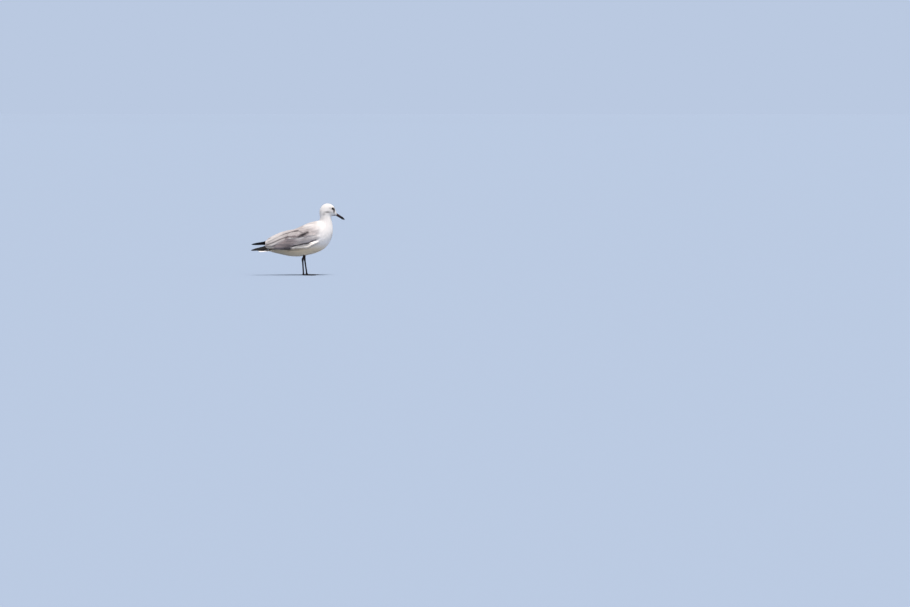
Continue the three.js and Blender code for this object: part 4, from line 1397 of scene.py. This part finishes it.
def makeEyelids(side, radius, axis, ahead, over):
    # a ring that rolls over the eyeball and sinks into the skin
    points, faces = [], []
    sides, profile = eyeSizes["lidSides"], eyeSizes["lidProfile"]
    for swing in 2 * math.pi * np.arange(sides) / sides:
        wide, tall = eyeSizes["lidWide"] * math.cos(swing), eyeSizes["lidTall"] * math.sin(swing)
        for scale, lift in profile:
            a, b = wide * scale * mm, tall * scale * mm
            height = math.sqrt(max(radius ** 2 - math.hypot(a, b) ** 2, 0)) + lift * mm
            points.append(eyeMiddle[side] + axis * height + ahead * a + over * b)
    rows = len(profile)
    for j in range(sides):
        for i in range(rows - 1):
            a, b = j * rows + i, ((j + 1) % sides) * rows + i
            faces.append((a, b, b + 1, a + 1))
    lid = objectFrom("eyelid_" + side, points, faces)
    solid = lid.modifiers.new("solid", "SOLIDIFY")
    solid.thickness = 0.2 * mm
    solid.offset = -1
    rounding = lid.modifiers.new("rounding", "SUBSURF")
    rounding.levels = rounding.render_levels = 1
    applyModifiers(lid)
    finish = Finish("eyelid_" + side)
    crease = finish.noise(2500.0, 3.0)
    lid.data.materials.append(finish.set(
        Base_Color=finish.mix(crease, eyeSizes["lid"], eyeSizes["lidPale"]), Roughness=0.55,
        Normal=finish.bump(crease, 0.4, 0.0002)))
    lid.data.shade_smooth()
    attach(lid, "root")


def makeEye(side):
    low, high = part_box("eye_" + side)
    radius = (high[0] - low[0]) / 2
    axis = eyeAxis(side)
    ahead = (Vector((1, 0, 0)) - axis * axis.x).normalized()
    over = axis.cross(ahead)
    if over.z < 0:
        over = -over
    makeEyeball(side, radius, axis, ahead, over)
    makeEyelids(side, radius, axis, ahead, over)
    print("eye and lids:", side)


for side in signOf:
    makeEye(side)


# bill

billShape = {
    "length": 33.5,
    "droop": 30,
    "baseX": 131.4,
    "baseZ": 205.8,
    "voxel": 0.32 * mm,
    "smoothing": 9,
    "root": linear(36, 8, 14),
    "tip": linear(6, 4, 5),
    "sink": {"slit": 0.75, "groove": 0.22, "mouth": 0.24},  # mm deep
    # nostril and the groove round it: share along and half length, height and half height in mm
    "slit": (0.3, 0.085, 1.9, 0.42),
    "groove": (0.18, 0.2, 2.0, 0.9),
    "slitOut": 1.2,  # mm from the middle
    "mouth": (0.6, 0.8),  # mm that its line bows, and its half height
    "tuck": 3.2,  # mm that the base slips into the face, from tuckX on
    "tuckX": 132.8,
    "tuckOver": 0.8,
    "tuckIn": 0.3,  # how much slimmer it gets there
}


def inBill(points):
    # along the bill from 0 to 1, across and up, in mm
    turn = math.radians(billShape["droop"])
    dx, dz = points[:, 0] / mm - billShape["baseX"], points[:, 2] / mm - billShape["baseZ"]
    along = (dx * math.cos(turn) - dz * math.sin(turn)) / billShape["length"]
    up = dx * math.sin(turn) + dz * math.cos(turn)
    return along, points[:, 1] / mm, up


def dent(share, up, at, long, high, tall):
    # 1 inside a long hollow, 0 outside it
    return np.exp(-(((share - at) / long) ** 4 + ((up - high) / tall) ** 2))


def makeBill():
    finish = Finish("billHorn")
    along = finish.reading("along")
    mottle = finish.noise(420.0, 4.0)
    colour = finish.mix((along + (mottle - 0.5) * 0.3).ramp(0.15, 0.65), billShape["root"], billShape["tip"])
    streak = finish.noise(1500.0, 2.0)
    horn = finish.set(
        Base_Color=colour, Roughness=0.42 + mottle * 0.16, Normal=finish.bump(streak, 0.12, 0.0002),
        Coat_Weight=0.08, Coat_Roughness=0.3, Specular_IOR_Level=0.35)
    deep = billShape["sink"]
    for name in ("bill_upper", "bill_lower"):
        piece = remeshed(name + "_horn", [name], billShape["voxel"], billShape["smoothing"])
        mesh = piece.data
        points, normals = perVertex(mesh), perVertex(mesh, "normal")
        share, across, up = inBill(points)
        sink = np.zeros(len(points))
        if name == "bill_upper":
            slit = dent(share, up, *billShape["slit"]) * (np.abs(across) > billShape["slitOut"])
            sink = deep["slit"] * slit + deep["groove"] * dent(share, up, *billShape["groove"])
        bow, half = billShape["mouth"]
        sink -= deep["mouth"] * np.exp(-((up + share * (1.0 - share) * bow) / half) ** 2)
        points = points - normals * (sink * mm)[:, None]
        tuck = np.clip((billShape["tuckX"] - points[:, 0] / mm) / billShape["tuckOver"], 0, 1)
        points[:, 0] -= tuck * billShape["tuck"] * mm
        points[:, 1] *= 1 - billShape["tuckIn"] * tuck
        points[:, 2] += (billShape["baseZ"] * mm - points[:, 2]) * billShape["tuckIn"] * tuck
        movePoints(mesh, points)
        keepReading(mesh, "along", share)
        mesh.materials.append(horn)
        mesh.shade_smooth()
        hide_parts(name)
        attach(piece, "root")
    print("bill: two mandibles")


makeBill()


# legs, feet and claws

legs = {
    "skin": linear(24, 8, 12),
    "dark": linear(9, 4, 6),
    "claw": linear(20, 16, 16),
    "clawPale": linear(44, 34, 32),
    "voxel": 0.42 * mm,
    "clawVoxel": 0.2 * mm,
    "smoothing": 4,
    "clawSmoothing": 3,
    "plate": 1.9,  # mm, height of the plates down the front of the shank
    "raised": 0.16,  # mm
    "plates": ((6, 9), (50, 53)),  # heights in mm between which they start and end
}


def scaleFinish():
    finish = Finish("legScales")
    place = finish.add("ShaderNodeTexCoord", output=3)
    scales = finish.add(
        "ShaderNodeTexVoronoi", {"feature": "DISTANCE_TO_EDGE"}, {"Vector": place, "Scale": 900.0})
    mottle = finish.noise(300.0, 4.0)
    colour = finish.mix(mottle, legs["dark"], legs["skin"])
    colour = finish.mix((1.0 - scales.ramp(0.0, 0.12)) * 0.5, colour, legs["dark"])
    return finish.set(Base_Color=colour, Roughness=0.55 + mottle * 0.15, Specular_IOR_Level=0.3,
                      Normal=finish.bump(scales.ramp(0.0, 0.2), 0.5, 0.00025))


def clawFinish():
    finish = Finish("clawHorn")
    grain = finish.noise(1200.0, 3.0)
    return finish.set(Base_Color=finish.mix(grain, legs["claw"], legs["clawPale"]), Roughness=0.3,
                      Normal=finish.bump(grain, 0.1, 0.0001))


def makeLegs():
    scaled, nail = scaleFinish(), clawFinish()
    foot, heel = legs["plates"]
    for side in signOf:
        piece = remeshed("leg_" + side, ["shank_" + side, "foot_" + side], legs["voxel"], legs["smoothing"])
        mesh = piece.data
        points, normals = perVertex(mesh), perVertex(mesh, "normal")
        z = points[:, 2] / mm
        onShank = smoothly(z, *foot) * (1 - smoothly(z, *heel))
        front = smoothly(normals[:, 0], -0.1, 0.5)
        plates = np.abs(np.sin(z * math.pi / legs["plate"])) ** 0.5 * onShank * front
        movePoints(mesh, points + normals * (plates * legs["raised"] * mm)[:, None])
        mesh.materials.append(scaled)
        mesh.shade_smooth()
        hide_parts("shank_" + side, "foot_" + side)
        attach(piece, "root")
        names = ["claw_" + side + "_" + toe for toe in ("inner", "middle", "outer", "hind")]
        claws = remeshed("claws_" + side, names, legs["clawVoxel"], legs["clawSmoothing"])
        claws.data.materials.append(nail)
        claws.data.shade_smooth()
        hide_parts(*names)
        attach(claws, "root")
    print("legs, feet and claws")


makeLegs()

bpy.data.objects.remove(outer)
